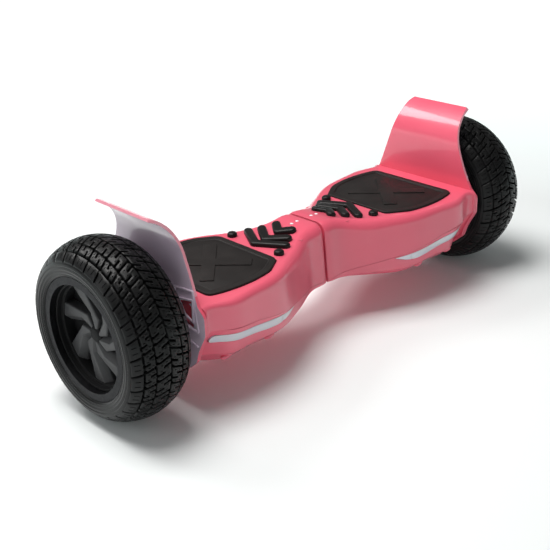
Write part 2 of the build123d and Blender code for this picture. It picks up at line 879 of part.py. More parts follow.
def make_magnets():
    start = wheel_mid + stator_middle - rotor_width / 2 + magnet_inset
    outer = rotor_outer - rotor_wall - seat_fit
    turn = 360 / magnet_count
    with BuildPart() as magnets:
        add(disc_ring(start, start + rotor_width - 2 * magnet_inset, outer, outer - magnet_thick))
        with BuildSketch(Plane.YZ.offset(start)):
            with Locations((0, axle_height)):
                with PolarLocations(outer - magnet_thick / 2, magnet_count, start_angle=turn / 2):
                    Rectangle(2 * magnet_thick, magnet_thick / 2)
        extrude(amount=rotor_width, mode=Mode.SUBTRACT)
    return magnets.part


def make_stator():
    outer = rotor_outer - rotor_wall - seat_fit - magnet_thick - air_gap
    with BuildPart() as stator:
        with BuildSketch(Plane.YZ.offset(wheel_mid + stator_middle - stator_width / 2)):
            with Locations((0, axle_height)):
                Circle(outer)
                Circle(outer - tooth_tip, mode=Mode.SUBTRACT)
                with PolarLocations(outer, slot_count, start_angle=180 / slot_count):
                    Rectangle(4 * tooth_tip, slot_opening, mode=Mode.SUBTRACT)
                with PolarLocations((stator_hub + outer - tooth_tip) / 2, slot_count):
                    Rectangle(outer - tooth_tip - stator_hub + 2, tooth_width)
                Circle(stator_hub)
                Circle(axle_radius + seat_fit, mode=Mode.SUBTRACT)
        extrude(amount=stator_width)
    return stator.part


def make_coils():
    inner, outer = coil_span
    start = wheel_mid + stator_middle - stator_width / 2
    with BuildPart() as coils:
        with BuildSketch(Plane.YZ.offset(start - coil_thick)):
            with Locations((0, axle_height)):
                with PolarLocations((inner + outer) / 2, slot_count):
                    Rectangle(outer - inner, tooth_width + 2 * coil_thick)
        extrude(amount=stator_width + 2 * coil_thick)
        with BuildSketch(Plane.YZ.offset(start - seat_fit)):
            with Locations((0, axle_height)):
                with PolarLocations((inner + outer) / 2, slot_count):
                    Rectangle(2 * (outer - inner), tooth_width + 2 * running_fit)
        extrude(amount=stator_width + 2 * seat_fit, mode=Mode.SUBTRACT)
    return coils.part


def make_motor_cover():
    bore = bearing_outer + seat_fit
    face = -flange_face - seat_fit
    with BuildPart() as cover:
        add(turned(from_mid([
            (face - cover_wall, axle_radius + axle_room), (face - cover_wall, bead_radius - 0.5),
            (face, bead_radius - 0.5), (face, hub_radius), (inner_bearing + bearing_width, hub_radius),
            (inner_bearing + bearing_width, bore), (inner_bearing, bore),
            (inner_bearing, axle_radius + axle_room)])))
        with BuildSketch(Plane.YZ.offset(wheel_mid + face)):
            with Locations((0, axle_height)):
                with PolarLocations((bead_radius + rotor_outer) / 2, cover_screws):
                    Circle(cover_screw_radius + seat_fit)
        extrude(amount=-2 * cover_wall, mode=Mode.SUBTRACT)
    return cover.part


def make_bearings():
    low, high = axle_radius + bearing_ledge, bearing_outer - bearing_ledge
    with BuildPart() as bearings:
        for start in (outer_bearing, inner_bearing + seat_fit):
            end = start + bearing_width - 2 * seat_fit
            start = start + seat_fit
            add(turned(from_mid([
                (start, axle_radius + running_fit), (end, axle_radius + running_fit),
                (end, low), (end - bearing_land, low), (end - bearing_land, high), (end, high),
                (end, bearing_outer), (start, bearing_outer), (start, high), (start + bearing_land, high),
                (start + bearing_land, low), (start, low)])))
    return bearings.part


def make_cover_screws():
    face = wheel_mid - flange_face - seat_fit - cover_wall - seat_fit
    with BuildPart() as screws:
        head_radius, head = cover_screw_head
        for length, radius in ((-head, head_radius), (cover_wall, cover_screw_radius)):
            with BuildSketch(Plane.YZ.offset(face)):
                with Locations((0, axle_height)):
                    with PolarLocations((bead_radius + rotor_outer) / 2, cover_screws):
                        Circle(radius)
            extrude(amount=length)
    return screws.part


def wheel_point(radius, angle):
    """A point in the wheel's plane; angle counts from the front, over the top."""
    return (-radius * cos(radians(angle)), axle_height + radius * sin(radians(angle)))


def make_spoke_cover():
    back = web_face + insert_clearance
    floor = back + cover_floor
    outer = bead_radius - barrel_wall - insert_clearance
    (step_one, wall_one), (step_two, wall_two) = cover_steps
    tip = outer - wall_one / 2
    kink, trail = blade_kink
    root = dome_radius - cover_floor
    with BuildPart() as cover:
        add(turned(from_mid([
            (back, 0), (floor + dome_height, 0), (floor + dome_height - 1, dome_radius - 4),
            (floor + dome_height - 3, dome_radius - 1.5), (floor, dome_radius), (floor, outer - wall_one),
            (step_one, outer - wall_one), (step_one, outer - wall_two), (step_two, outer - wall_two),
            (step_two, outer), (back, outer)])))
        with BuildSketch(Plane.YZ.offset(wheel_mid + floor - cover_floor / 2)):
            for i in range(blade_count):
                angle = first_blade + i * 360 / blade_count
                behind = angle - trail
                half_tip = degrees(blade_tip_width / 2 / tip)
                half_kink = degrees((blade_root_width + blade_tip_width) / 4 / kink)
                half_root = degrees(blade_root_width / 2 / dome_radius)
                with BuildLine():
                    Polyline(wheel_point(root, behind - half_root), wheel_point(kink, behind - half_kink),
                             wheel_point(tip, angle - half_tip), wheel_point(tip, angle + half_tip),
                             wheel_point(kink, behind + half_kink), wheel_point(root, behind + half_root),
                             close=True)
                make_face()
        extrude(amount=blade_depth + cover_floor / 2)
    return cover.part


def make_axle():
    with BuildPart() as axle:
        add(tube_along_x(axle_start, wheel_mid + axle_end, axle_radius))
        stator_face = wheel_mid + stator_middle - stator_width / 2
        add(disc_ring(stator_face - axle_collar[1], stator_face - seat_fit,
                      axle_radius + axle_collar[0], axle_radius / 2))
    return axle.part


# ---- electrics

def make_battery():
    x, rise = battery_at
    length, width, height = battery_size
    with BuildPart() as battery:
        with BuildSketch(Plane(origin=(x, 0, axle_height + rise - height / 2))):
            RectangleRounded(length, width, battery_corner)
        extrude(amount=height)
    return battery.part


def make_straps():
    x, rise = battery_at
    length, width, height = battery_size
    foot = axle_height + rise - height / 2 - insert_clearance
    inner = width / 2 + insert_clearance
    with BuildPart() as straps:
        for along in strap_at:
            with BuildSketch(Plane.YZ.offset(x + along - strap_width / 2)):
                with BuildLine():
                    Polyline((-inner - strap_wall, frame_under), (-inner - strap_wall, foot - strap_wall),
                             (inner + strap_wall, foot - strap_wall), (inner + strap_wall, frame_under),
                             (inner, frame_under), (inner, foot), (-inner, foot), (-inner, frame_under),
                             close=True)
                make_face()
            extrude(amount=strap_width)
    return straps.part


def board_post_places():
    x = board_at[0]
    length, width = board_size
    inset = board_post_radius + 1
    return [(x + i * (length / 2 - inset), j * (width / 2 - inset)) for i in (-1, 1) for j in (-1, 1)]


def make_main_board():
    x, rise = board_at
    length, width = board_size
    bottom = axle_height + rise
    top = bottom + board_thick
    end_x = length / 2 - socket_length / 2
    with BuildPart() as board:
        with BuildSketch(Plane(origin=(x, 0, bottom))):
            Rectangle(length, width)
        extrude(amount=board_thick)
        # sockets for the two motor leads
        with BuildSketch(Plane(origin=(x, 0, top))):
            with Locations((-end_x, 0), (end_x, 0)):
                Rectangle(socket_length, 4 * lead_radius)
        extrude(amount=axle_height + lead_radius + 1 - top)
        # heat sink and capacitors
        with BuildSketch(Plane(origin=(x, 0, top))):
            with Locations((0, width / 2 - heat_sink_inset)):
                Rectangle(heat_sink[0], heat_sink[1])
        extrude(amount=heat_sink[2])
        with BuildSketch(Plane(origin=(x, capacitor_pitch - width / 2, top))):
            with GridLocations(capacitor_pitch, 0, 3, 1):
                Circle(capacitor[0])
        extrude(amount=capacitor[1])
    return board.part


def make_gyro_board():
    length, width = gyro_size
    top = frame_deck + gyro_lift + board_thick
    foot_inset = 4 * gyro_foot_radius
    with BuildPart() as gyro:
        with BuildSketch(Plane(origin=(gyro_at, 0, frame_deck + gyro_lift))):
            Rectangle(length, width)
        extrude(amount=board_thick)
        with BuildSketch(Plane(origin=(gyro_at, 0, frame_deck))):
            with GridLocations(length - foot_inset, width - foot_inset, 2, 2):
                Circle(gyro_foot_radius)
        extrude(amount=gyro_lift)
        with BuildSketch(Plane(origin=(plunger_at[0], 0, top))):
            with GridLocations(0, 2 * plunger_at[1], 1, 2):
                Rectangle(gyro_switch[0], gyro_switch[1])
        extrude(amount=gyro_switch[2])
    return gyro.part


def rear_plane(x):
    """The plane of the round collars' faces on the rear side; sketches extrude inwards."""
    return Plane.XZ.offset(-at_x(half_width, x) - collar_proud)


def make_charge_port():
    x, rise = port_at
    centre = (x, axle_height + rise)
    with BuildPart() as port:
        with BuildSketch(rear_plane(x)):
            with Locations(centre):
                Circle(port_radius)
        extrude(amount=port_depth + port_back)
        with BuildSketch(rear_plane(x)):
            with Locations(centre):
                Circle(port_bore)
        extrude(amount=port_depth, mode=Mode.SUBTRACT)
        with BuildSketch(rear_plane(x).offset(port_depth)):
            with Locations(centre):
                with PolarLocations(port_bore / 2, 3):
                    Circle(pin_radius)
        extrude(amount=pin_length, dir=(0, 1, 0))
    return port.part


def make_port_cap():
    x, rise = port_at
    centre = (x, axle_height + rise)
    with BuildPart() as cap:
        with BuildSketch(rear_plane(x).offset(-insert_clearance)):
            with Locations(centre):
                Circle(port_cap_radius)
            with Locations((x, axle_height + rise + port_cap_radius)):
                Rectangle(*port_cap_tab)
        extrude(amount=-port_cap_thick)
    return cap.part


def make_power_button():
    x, rise = button_at
    with BuildPart() as button:
        with BuildSketch(rear_plane(x).offset(-button_travel - button_edge)):
            with Locations((x, axle_height + rise)):
                Circle(button_radius)
        extrude(amount=button_length)
        fillet(button.edges().group_by(Axis.Y)[-1], radius=button_edge)
    return button.part


def make_power_switch():
    x, rise = button_at
    centre = (x, axle_height + rise)
    with BuildPart() as switch:
        with BuildSketch(rear_plane(x)):
            with Locations(centre):
                Circle(housing_radius)
        extrude(amount=housing_depth)
        with BuildSketch(rear_plane(x)):
            with Locations(centre):
                Circle(button_radius + insert_clearance)
        extrude(amount=button_length - button_edge + insert_clearance, mode=Mode.SUBTRACT)
    return switch.part


# ---- build and write every piece

save(make_upper_shell(True), "right_upper_shell")
with BuildPart() as left_upper:
    mirror(make_upper_shell(False), about=Plane.YZ)
save(left_upper.part, "left_upper_shell")
save_pair(make_lower_shell(), "lower_shell")
save_pair(make_strip_layer(0, shell_wall, 0), "light_lens")
save_pair(make_strip_layer(shell_wall + insert_clearance, shell_wall + insert_clearance + board_thick, -1.0),
          "light_board")
save_pair(make_foot_pad(), "foot_pad")
save_pair(make_grips(), "grip_bars")
save_pair(make_indicators(), "indicator_lenses")
save_pair(make_fender(), "fender")

save(make_frame(pivot_radius + bush_wall, boss_start, True), "right_frame")
with BuildPart() as left_frame:
    mirror(make_frame(pivot_radius, bush_flange + insert_clearance - boss_start, False), about=Plane.YZ)
save(left_frame.part, "left_frame")
save_pair(make_clamp(), "axle_clamp")
save_pair(make_clamp_bolts(), "clamp_bolts")
save_pair(make_screws(), "shell_screws")
save_pair(make_gyro_board(), "gyro_board")
save(make_bushes(), "pivot_bushes")
save(make_pivot_shaft(), "pivot_shaft")
save(make_circlip(), "pivot_circlip")

save_pair(make_axle(), "axle")
save_pair(make_stator(), "stator")
save_pair(make_coils(), "stator_coils")
save_pair(make_rim(), "rim")
save_pair(make_tyre(), "tyre")
save_pair(make_rotor_ring(), "rotor_ring")
save_pair(make_magnets(), "magnets")
save_pair(make_bearings(), "wheel_bearings")
save_pair(make_motor_cover(), "motor_cover")
save_pair(make_cover_screws(), "cover_screws")
save_pair(make_spoke_cover(), "spoke_cover")

with BuildPart() as battery:
    mirror(make_battery(), about=Plane.YZ)
save(battery.part, "battery_pack")
with BuildPart() as straps:
    mirror(make_straps(), about=Plane.YZ)
save(straps.part, "battery_straps")
save(make_main_board(), "main_board")
board_start = board_at[0] - board_size[0] / 2
save(tube_along_x(-axle_start, board_start, lead_radius), "left_motor_lead")
save(tube_along_x(board_start + board_size[0], axle_start, lead_radius), "right_motor_lead")
save(make_charge_port(), "charge_port")
save(make_port_cap(), "port_cap")
save(make_power_button(), "power_button")
save(make_power_switch(), "power_switch")
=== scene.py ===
import bpy
import math
from mathutils import Matrix, Vector
from mathutils.bvhtree import BVHTree


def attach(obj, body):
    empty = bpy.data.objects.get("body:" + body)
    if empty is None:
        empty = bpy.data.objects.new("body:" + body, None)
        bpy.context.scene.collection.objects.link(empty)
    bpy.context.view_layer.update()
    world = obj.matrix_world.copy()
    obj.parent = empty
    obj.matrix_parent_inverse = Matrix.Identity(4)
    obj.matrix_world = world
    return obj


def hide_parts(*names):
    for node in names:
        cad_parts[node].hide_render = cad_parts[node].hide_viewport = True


# A self-balancing hoverboard: glossy coral shells, a fender over each all-terrain wheel, rubber foot pads.
# Everything is in metres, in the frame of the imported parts. +X is along the axle, -Y is the front.

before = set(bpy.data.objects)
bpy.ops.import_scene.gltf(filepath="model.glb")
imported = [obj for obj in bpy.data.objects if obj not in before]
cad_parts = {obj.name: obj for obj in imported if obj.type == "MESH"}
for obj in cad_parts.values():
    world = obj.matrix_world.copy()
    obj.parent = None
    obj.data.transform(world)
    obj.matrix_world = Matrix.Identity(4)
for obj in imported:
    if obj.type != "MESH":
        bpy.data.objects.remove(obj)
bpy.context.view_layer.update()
mm = 0.001
sides = {"left": -1, "right": 1}  # and the way each lies along X
farOut = {"x": 0.4, "y": 0.3}  # clear of the board, where a ray towards it starts
print("frame loaded:", len(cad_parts), "nodes")


# small helpers

def pickOnly(obj):
    if bpy.context.mode != "OBJECT":
        bpy.ops.object.mode_set(mode="OBJECT")
    bpy.ops.object.select_all(action="DESELECT")
    obj.select_set(True)
    bpy.context.view_layer.objects.active = obj


def editAll(obj, mode="FACE"):
    pickOnly(obj)
    bpy.ops.object.mode_set(mode="EDIT")
    bpy.ops.mesh.select_mode(type=mode)
    bpy.ops.mesh.select_all(action="SELECT")


def leaveEdit():
    bpy.ops.object.mode_set(mode="OBJECT")


def chooseFaces(obj, test):  # leaves edit mode on, with only those faces picked
    editAll(obj)
    bpy.ops.mesh.select_all(action="DESELECT")
    leaveEdit()
    for face in obj.data.polygons:
        face.select = test(face)
    bpy.ops.object.mode_set(mode="EDIT")


def chooseEdges(obj, test):  # test gets the two end points of each edge
    editAll(obj, "EDGE")
    bpy.ops.mesh.select_all(action="DESELECT")
    leaveEdit()
    points = obj.data.vertices
    for edge in obj.data.edges:
        edge.select = test(points[edge.vertices[0]].co, points[edge.vertices[1]].co)
    bpy.ops.object.mode_set(mode="EDIT")


def useModifier(obj, kind, **values):
    pickOnly(obj)
    modifier = obj.modifiers.new(kind.lower(), kind)
    for name, value in values.items():
        setattr(modifier, name, value)
    bpy.ops.object.modifier_apply(modifier=modifier.name)


def roundEdges(obj, width, segments, sharper):  # rounds the edges sharper than that angle
    useModifier(obj, "BEVEL", width=width, segments=segments, limit_method="ANGLE",
                angle_limit=math.radians(sharper))


def smoothBy(obj, angle):
    pickOnly(obj)
    bpy.ops.object.shade_smooth_by_angle(angle=math.radians(angle))


def settle(obj):  # puts the piece's place into its mesh
    pickOnly(obj)
    bpy.ops.object.transform_apply(location=True, rotation=True, scale=True)


def joinPieces(pieces, name):
    pickOnly(pieces[0])
    for piece in pieces:
        piece.select_set(True)
    bpy.ops.object.join()
    joined = bpy.context.view_layer.objects.active
    joined.name = name
    joined.data.name = name
    return joined


def copyPiece(obj, name):
    twin = obj.copy()
    twin.data = obj.data.copy()
    twin.name = name
    twin.data.name = name
    bpy.context.scene.collection.objects.link(twin)
    return twin


def outline(name, points, fill="NGON"):  # a circle whose points are set to the outline's
    bpy.ops.object.select_all(action="DESELECT")
    bpy.ops.mesh.primitive_circle_add(vertices=len(points), radius=0.01, fill_type=fill)
    obj = bpy.context.object
    obj.name = name
    for vertex, point in zip(obj.data.vertices, points):
        vertex.co = point
    return obj


def raiseFace(obj, move):
    editAll(obj)
    bpy.ops.mesh.extrude_region_move(TRANSFORM_OT_translate={"value": move})
    leaveEdit()


def faceOut(obj, merge=0.00002):
    editAll(obj, "VERT")
    bpy.ops.mesh.remove_doubles(threshold=merge)
    bpy.ops.mesh.normals_make_consistent(inside=False)
    leaveEdit()


def cutAcross(obj, place, normal):  # new edges where a plane crosses the piece
    editAll(obj)
    bpy.ops.mesh.bisect(plane_co=place, plane_no=normal)
    leaveEdit()


def turnedBlock(place, size, turn):
    bpy.ops.object.select_all(action="DESELECT")
    bpy.ops.mesh.primitive_cube_add(size=1, location=place, rotation=(0, 0, math.radians(turn)), scale=size)
    block = bpy.context.object
    settle(block)
    return block


def spunRing(name, profile, centre, steps):  # profile is (along the axle, radius)
    points = [(centre[0] + along, centre[1], centre[2] + radius) for along, radius in profile]
    obj = outline(name, points, "NOTHING")
    editAll(obj, "EDGE")
    bpy.ops.mesh.spin(steps=steps, angle=2 * math.pi, center=centre, axis=(1, 0, 0))
    leaveEdit()
    faceOut(obj)
    return obj


def castCopy(node, name):  # a merged copy of a frame node
    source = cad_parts[node]
    piece = bpy.data.objects.new(name, source.data.copy())
    piece.data.name = name
    bpy.context.scene.collection.objects.link(piece)
    pickOnly(piece)
    bpy.ops.mesh.customdata_custom_splitnormals_clear()
    editAll(piece, "VERT")
    bpy.ops.mesh.remove_doubles(threshold=0.00001)
    leaveEdit()
    piece.data.materials.clear()
    return piece


def skinOf(node):  # a frame node's skin, to find spots on
    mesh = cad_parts[node].data
    corners = [vertex.co for vertex in mesh.vertices]
    return BVHTree.FromPolygons(corners, [face.vertices for face in mesh.polygons])


def mirrorPiece(obj, name):  # the twin on the other half
    twin = copyPiece(obj, name)
    twin.data.transform(Matrix.Scale(-1, 4, (1, 0, 0)))
    twin.data.flip_normals()
    return twin


def paintFaces(obj, finish, test):  # one more finish, on the faces that pass the test
    obj.data.materials.append(finish)
    chooseFaces(obj, test)
    obj.active_material_index = len(obj.data.materials) - 1
    bpy.ops.object.material_slot_assign()
    leaveEdit()


def fit(obj, body, finish, slotName, *nodes):  # with no finish given, the piece keeps its own
    if finish is not None:
        obj.data.materials.clear()
        obj.data.materials.append(finish)
    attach(obj, body)
    if nodes:
        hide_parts(*nodes)


# finishes

def newFinish(name, colour, roughness, metallic=0.0):
    finish = bpy.data.materials.new(name)
    finish.use_nodes = True
    shader = finish.node_tree.nodes["Principled BSDF"]
    shader.inputs["Base Color"].default_value = (*colour, 1)
    shader.inputs["Roughness"].default_value = roughness
    shader.inputs["Metallic"].default_value = metallic
    return finish, finish.node_tree, shader


def noiseOn(tree, scale, detail=3.0, roughness=0.5, stretch=None):
    place = tree.nodes.new("ShaderNodeTexCoord")
    noise = tree.nodes.new("ShaderNodeTexNoise")
    noise.inputs["Scale"].default_value = scale
    noise.inputs["Detail"].default_value = detail
    noise.inputs["Roughness"].default_value = roughness
    if stretch:
        mapping = tree.nodes.new("ShaderNodeMapping")
        mapping.inputs["Scale"].default_value = stretch
        tree.links.new(place.outputs["Object"], mapping.inputs["Vector"])
        tree.links.new(mapping.outputs["Vector"], noise.inputs["Vector"])
    else:
        tree.links.new(place.outputs["Object"], noise.inputs["Vector"])
    return noise


def toneFrom(tree, shader, source, low, high, start=0.35, end=0.65):
    ramp = tree.nodes.new("ShaderNodeValToRGB")
    ramp.color_ramp.elements[0].position = start
    ramp.color_ramp.elements[1].position = end
    ramp.color_ramp.elements[0].color = (*low, 1)
    ramp.color_ramp.elements[1].color = (*high, 1)
    tree.links.new(source, ramp.inputs["Fac"])
    tree.links.new(ramp.outputs["Color"], shader.inputs["Base Color"])


def roughBetween(tree, shader, source, low, high):
    spread = tree.nodes.new("ShaderNodeMapRange")
    spread.inputs["From Min"].default_value = 0.3
    spread.inputs["From Max"].default_value = 0.7
    spread.inputs["To Min"].default_value = low
    spread.inputs["To Max"].default_value = high
    tree.links.new(source, spread.inputs["Value"])
    tree.links.new(spread.outputs["Result"], shader.inputs["Roughness"])


def bumpFrom(tree, shader, source, strength, distance, edge=0.0):
    bump = tree.nodes.new("ShaderNodeBump")
    bump.inputs["Strength"].default_value = strength
    bump.inputs["Distance"].default_value = distance
    tree.links.new(source, bump.inputs["Height"])
    if edge:  # softens the sharp edges that light catches
        soft = tree.nodes.new("ShaderNodeBevel")
        soft.samples = 6
        soft.inputs["Radius"].default_value = edge
        tree.links.new(soft.outputs["Normal"], bump.inputs["Normal"])
    tree.links.new(bump.outputs["Normal"], shader.inputs["Normal"])


def glossPaint(name, colour, shade, roughness, edge):
    finish, tree, shader = newFinish(name, colour, roughness)
    cloud = noiseOn(tree, 9.0, 2.0)
    toneFrom(tree, shader, cloud.outputs["Fac"], shade, colour, 0.25, 0.7)
    peel = noiseOn(tree, 620.0, 2.0, 0.4)
    roughBetween(tree, shader, cloud.outputs["Fac"], roughness * 0.85, roughness * 1.2)
    bumpFrom(tree, shader, peel.outputs["Fac"], 0.05, 0.0002, edge)
    shader.inputs["Coat Weight"].default_value = 0.7
    shader.inputs["Coat Roughness"].default_value = 0.05
    return finish


def rubberLook(name, colour, worn, roughness, grainScale, strength, glint=0.19):
    finish, tree, shader = newFinish(name, colour, roughness)
    dust = noiseOn(tree, 34.0, 6.0, 0.62)
    toneFrom(tree, shader, dust.outputs["Fac"], colour, worn, 0.38, 0.8)
    roughBetween(tree, shader, dust.outputs["Fac"], roughness * 0.86, min(roughness * 1.14, 1.0))
    grain = noiseOn(tree, grainScale, 4.0, 0.6)
    bumpFrom(tree, shader, grain.outputs["Fac"], strength, 0.0004)
    shader.inputs["Specular IOR Level"].default_value = glint
    return finish


def metalLook(name, colour, dull, roughness, grainScale, stretch=None, edge=0.0004):
    finish, tree, shader = newFinish(name, colour, roughness, 1.0)
    grain = noiseOn(tree, grainScale, 5.0, 0.6, stretch)
    toneFrom(tree, shader, grain.outputs["Fac"], dull, colour)
    roughBetween(tree, shader, grain.outputs["Fac"], roughness * 0.8, roughness * 1.25)
    bumpFrom(tree, shader, grain.outputs["Fac"], 0.12, 0.0003, edge)
    return finish


def plasticLook(name, colour, shade, roughness, grainScale, strength, edge=0.0004, glint=0.5):
    finish, tree, shader = newFinish(name, colour, roughness)
    grain = noiseOn(tree, grainScale, 4.0, 0.55)
    cloud = noiseOn(tree, 22.0, 3.0)
    toneFrom(tree, shader, cloud.outputs["Fac"], shade, colour)
    roughBetween(tree, shader, cloud.outputs["Fac"], roughness * 0.9, min(roughness * 1.15, 1.0))
    bumpFrom(tree, shader, grain.outputs["Fac"], strength, 0.0003, edge)
    shader.inputs["Specular IOR Level"].default_value = glint
    return finish


# name, main colour, second colour and roughness, then a paint's edge softness or the grain's scale and strength
coralPaint = glossPaint("coralPaint", (0.790, 0.112, 0.178), (0.755, 0.100, 0.163), 0.34, 0.0009)
linerPaint = glossPaint("lilacLiner", (0.620, 0.510, 0.620), (0.560, 0.440, 0.550), 0.24, 0.0008)
rimPaint = glossPaint("rimPaint", (0.800, 0.300, 0.370), (0.760, 0.270, 0.340), 0.26, 0.0006)
# a deep red that paints the shade on the coral wall behind each end cap's window
windowPaintedShade = glossPaint("windowPaintedShade", (0.420, 0.016, 0.036), (0.330, 0.012, 0.028), 0.22, 0.0004)
padRubber = rubberLook("padRubber", (0.0130, 0.0110, 0.0105), (0.020, 0.017, 0.016), 0.55, 1500.0, 0.22)
gripRubber = rubberLook("gripRubber", (0.009, 0.008, 0.008), (0.015, 0.013, 0.013), 0.36, 1300.0, 0.10)
treadRubber = rubberLook("treadRubber", (0.0060, 0.0060, 0.0063), (0.013, 0.013, 0.013), 0.33, 900.0, 0.18)
hubPlastic = plasticLook("hubPlastic", (0.0480, 0.0480, 0.0500), (0.0390, 0.0390, 0.0410), 0.46, 1400.0, 0.16,
                         edge=0.0007, glint=0.38)
# the dish's finish is the hub plastic made much darker: painted shade in the recess round the blades
dishPaintedShade = plasticLook("dishPaintedShade", (0.0042, 0.0042, 0.0048), (0.0032, 0.0032, 0.0036), 0.60, 1400.0, 0.16,
                        edge=0.0007, glint=0.22)
blackAlloy = metalLook("blackAlloy", (0.024, 0.024, 0.026), (0.016, 0.016, 0.018), 0.50, 300.0)
castAlloy = metalLook("castAlloy", (0.58, 0.59, 0.61), (0.44, 0.45, 0.47), 0.46, 420.0)
zincSteel = metalLook("zincSteel", (0.62, 0.62, 0.63), (0.50, 0.50, 0.52), 0.30, 700.0, (0.08, 1, 1))
coreSteel = metalLook("coreSteel", (0.30, 0.30, 0.32), (0.20, 0.20, 0.22), 0.45, 1600.0, (1, 0.05, 0.05))
nickelPlate = metalLook("nickelPlate", (0.68, 0.67, 0.64), (0.60, 0.59, 0.57), 0.20, 500.0)
enamelCopper = metalLook("enamelCopper", (0.62, 0.24, 0.10), (0.42, 0.15, 0.07), 0.32, 1900.0, (1, 0.04, 1))
sinterBronze = metalLook("sinterBronze", (0.52, 0.34, 0.15), (0.40, 0.25, 0.12), 0.40, 1200.0)
cellWrap = plasticLook("cellWrap", (0.020, 0.060, 0.200), (0.015, 0.045, 0.150), 0.32, 500.0, 0.10)
boardMask = plasticLook("boardMask", (0.014, 0.130, 0.055), (0.010, 0.095, 0.040), 0.36, 800.0, 0.15)
blackPlastic = plasticLook("blackPlastic", (0.018, 0.018, 0.018), (0.013, 0.013, 0.013), 0.48, 1300.0, 0.16)
indicatorWhite = plasticLook("indicatorWhite", (0.88, 0.87, 0.90), (0.82, 0.81, 0.85), 0.30, 900.0, 0.05)


def lensLook(name, colour, shade):  # frosted light strip with faint moulded flutes
    finish, tree, shader = newFinish(name, colour, 0.32)
    cloud = noiseOn(tree, 16.0, 2.0)
    toneFrom(tree, shader, cloud.outputs["Fac"], shade, colour)
    place = tree.nodes.new("ShaderNodeTexCoord")
    flutes = tree.nodes.new("ShaderNodeTexWave")
    flutes.inputs["Scale"].default_value = 130.0
    flutes.inputs["Distortion"].default_value = 0.0
    tree.links.new(place.outputs["Object"], flutes.inputs["Vector"])
    bumpFrom(tree, shader, flutes.outputs["Fac"], 0.10, 0.0003, 0.0006)
    shader.inputs["Coat Weight"].default_value = 0.5
    shader.inputs["Subsurface Weight"].default_value = 0.2
    shader.inputs["Subsurface Scale"].default_value = 0.003
    return finish


stripLens = lensLook("stripLens", (0.70, 0.73, 0.78), (0.62, 0.65, 0.71))
print("finishes made")


# hull: the painted shells

for side in sides:
    for part in ("upper_shell", "lower_shell"):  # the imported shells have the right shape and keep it
        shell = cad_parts[side + "_" + part]
        shell.data.materials.clear()
        shell.data.materials.append(coralPaint)
print("hull shells made")


# end caps with their fenders: coral on the deck side, lilac on the wheel side

fenderPiece = {
    "smoothAngle": 32, "aboveCap": 0.15, "linerLean": 0.25, "underLean": 0.4, "tipEdge": 0.0012, "rimLean": 0.6,
}


def onWheelSide(face, way):  # the side towards the wheel and the fender's underside
    under = face.normal.z < -fenderPiece["underLean"] and face.center.z > fenderPiece["aboveCap"]
    return face.normal.x * way > fenderPiece["linerLean"] or under


def onRim(face, way, tip):  # the fender's thin edges
    edge = face.center.x * way >= tip or abs(face.normal.y) > fenderPiece["rimLean"]
    return edge and face.center.z > fenderPiece["aboveCap"]


for side, way in sides.items():
    fender = castCopy(side + "_fender", side + "Fender")
    fender.data.materials.append(coralPaint)
    tip = max(vertex.co.x * way for vertex in fender.data.vertices) - fenderPiece["tipEdge"]
    paintFaces(fender, linerPaint, lambda face: face.center.x * way < tip and onWheelSide(face, way))
    paintFaces(fender, rimPaint, lambda face: onRim(face, way, tip))
    smoothBy(fender, fenderPiece["smoothAngle"])
    fit(fender, side + "_half", None, "coral_paint", side + "_fender")

# a framed window, its recess a deep red sheet of painted shade, and ribs on the wheel side of each end cap;
# places are (y, z) on the cap
capPiece = {
    "window": [(-.0500, .1425), (-.0765, .1470), (-.0765, .1185), (-.0580, .1220)],
    "raise": 0.0022, "frame": 0.0021, "frameWall": 0.0003, "recess": 0.0017,
    "shadedMiddle": -0.066, "shadedReach": 0.004, "facing": 0.8,
    "ribs": [((-.0440, .1530), (-.0745, .1560)), ((-.0745, .1560), (-.0825, .1090)),
             ((-.0440, .1530), (-.0500, .0960)), ((-.0500, .1120), (-.0825, .1090)),
             ((-.0560, .0960), (-.0800, .0900))],
    "ribWidth": 0.0022, "ribRaise": 0.0016, "sink": 0.0008, "round": 0.0004, "lift": 0.0002,
    "flatPlace": 0.2475, "smoothAngle": 30,
}
capSkins = {side: skinOf(side + "_fender") for side in sides}


def onCap(side, y, z, lift):  # the spot of the end cap's wheel side at that y and z
    way = sides[side]
    spot = capSkins[side].ray_cast(Vector((way * farOut["x"], y, z)), Vector((-way, 0, 0)))[0]
    return Vector(((spot.x if spot else way * capPiece["flatPlace"]) + way * lift, y, z))


def capRib(side, start, end):
    a, b = (Vector((0, *spot)) for spot in (start, end))
    across = Vector((1, 0, 0)).cross((b - a).normalized()) * capPiece["ribWidth"] / 2
    corners = [a - across, b - across, b + across, a + across]
    rib = outline("capRib", [onCap(side, spot.y, spot.z, -capPiece["sink"]) for spot in corners])
    raiseFace(rib, (sides[side] * (capPiece["ribRaise"] + capPiece["sink"]), 0, 0))
    faceOut(rib)
    roundEdges(rib, capPiece["round"], 2, 40)
    return rib


def facesWheel(face, way):
    return face.normal.x * way > capPiece["facing"]


def isShadedWindowFace(face, way):  # a four-sided face by the middle of the window, which carries the painted shade
    central = abs(face.center.y - capPiece["shadedMiddle"]) < capPiece["shadedReach"]
    return facesWheel(face, way) and len(face.vertices) == 4 and central


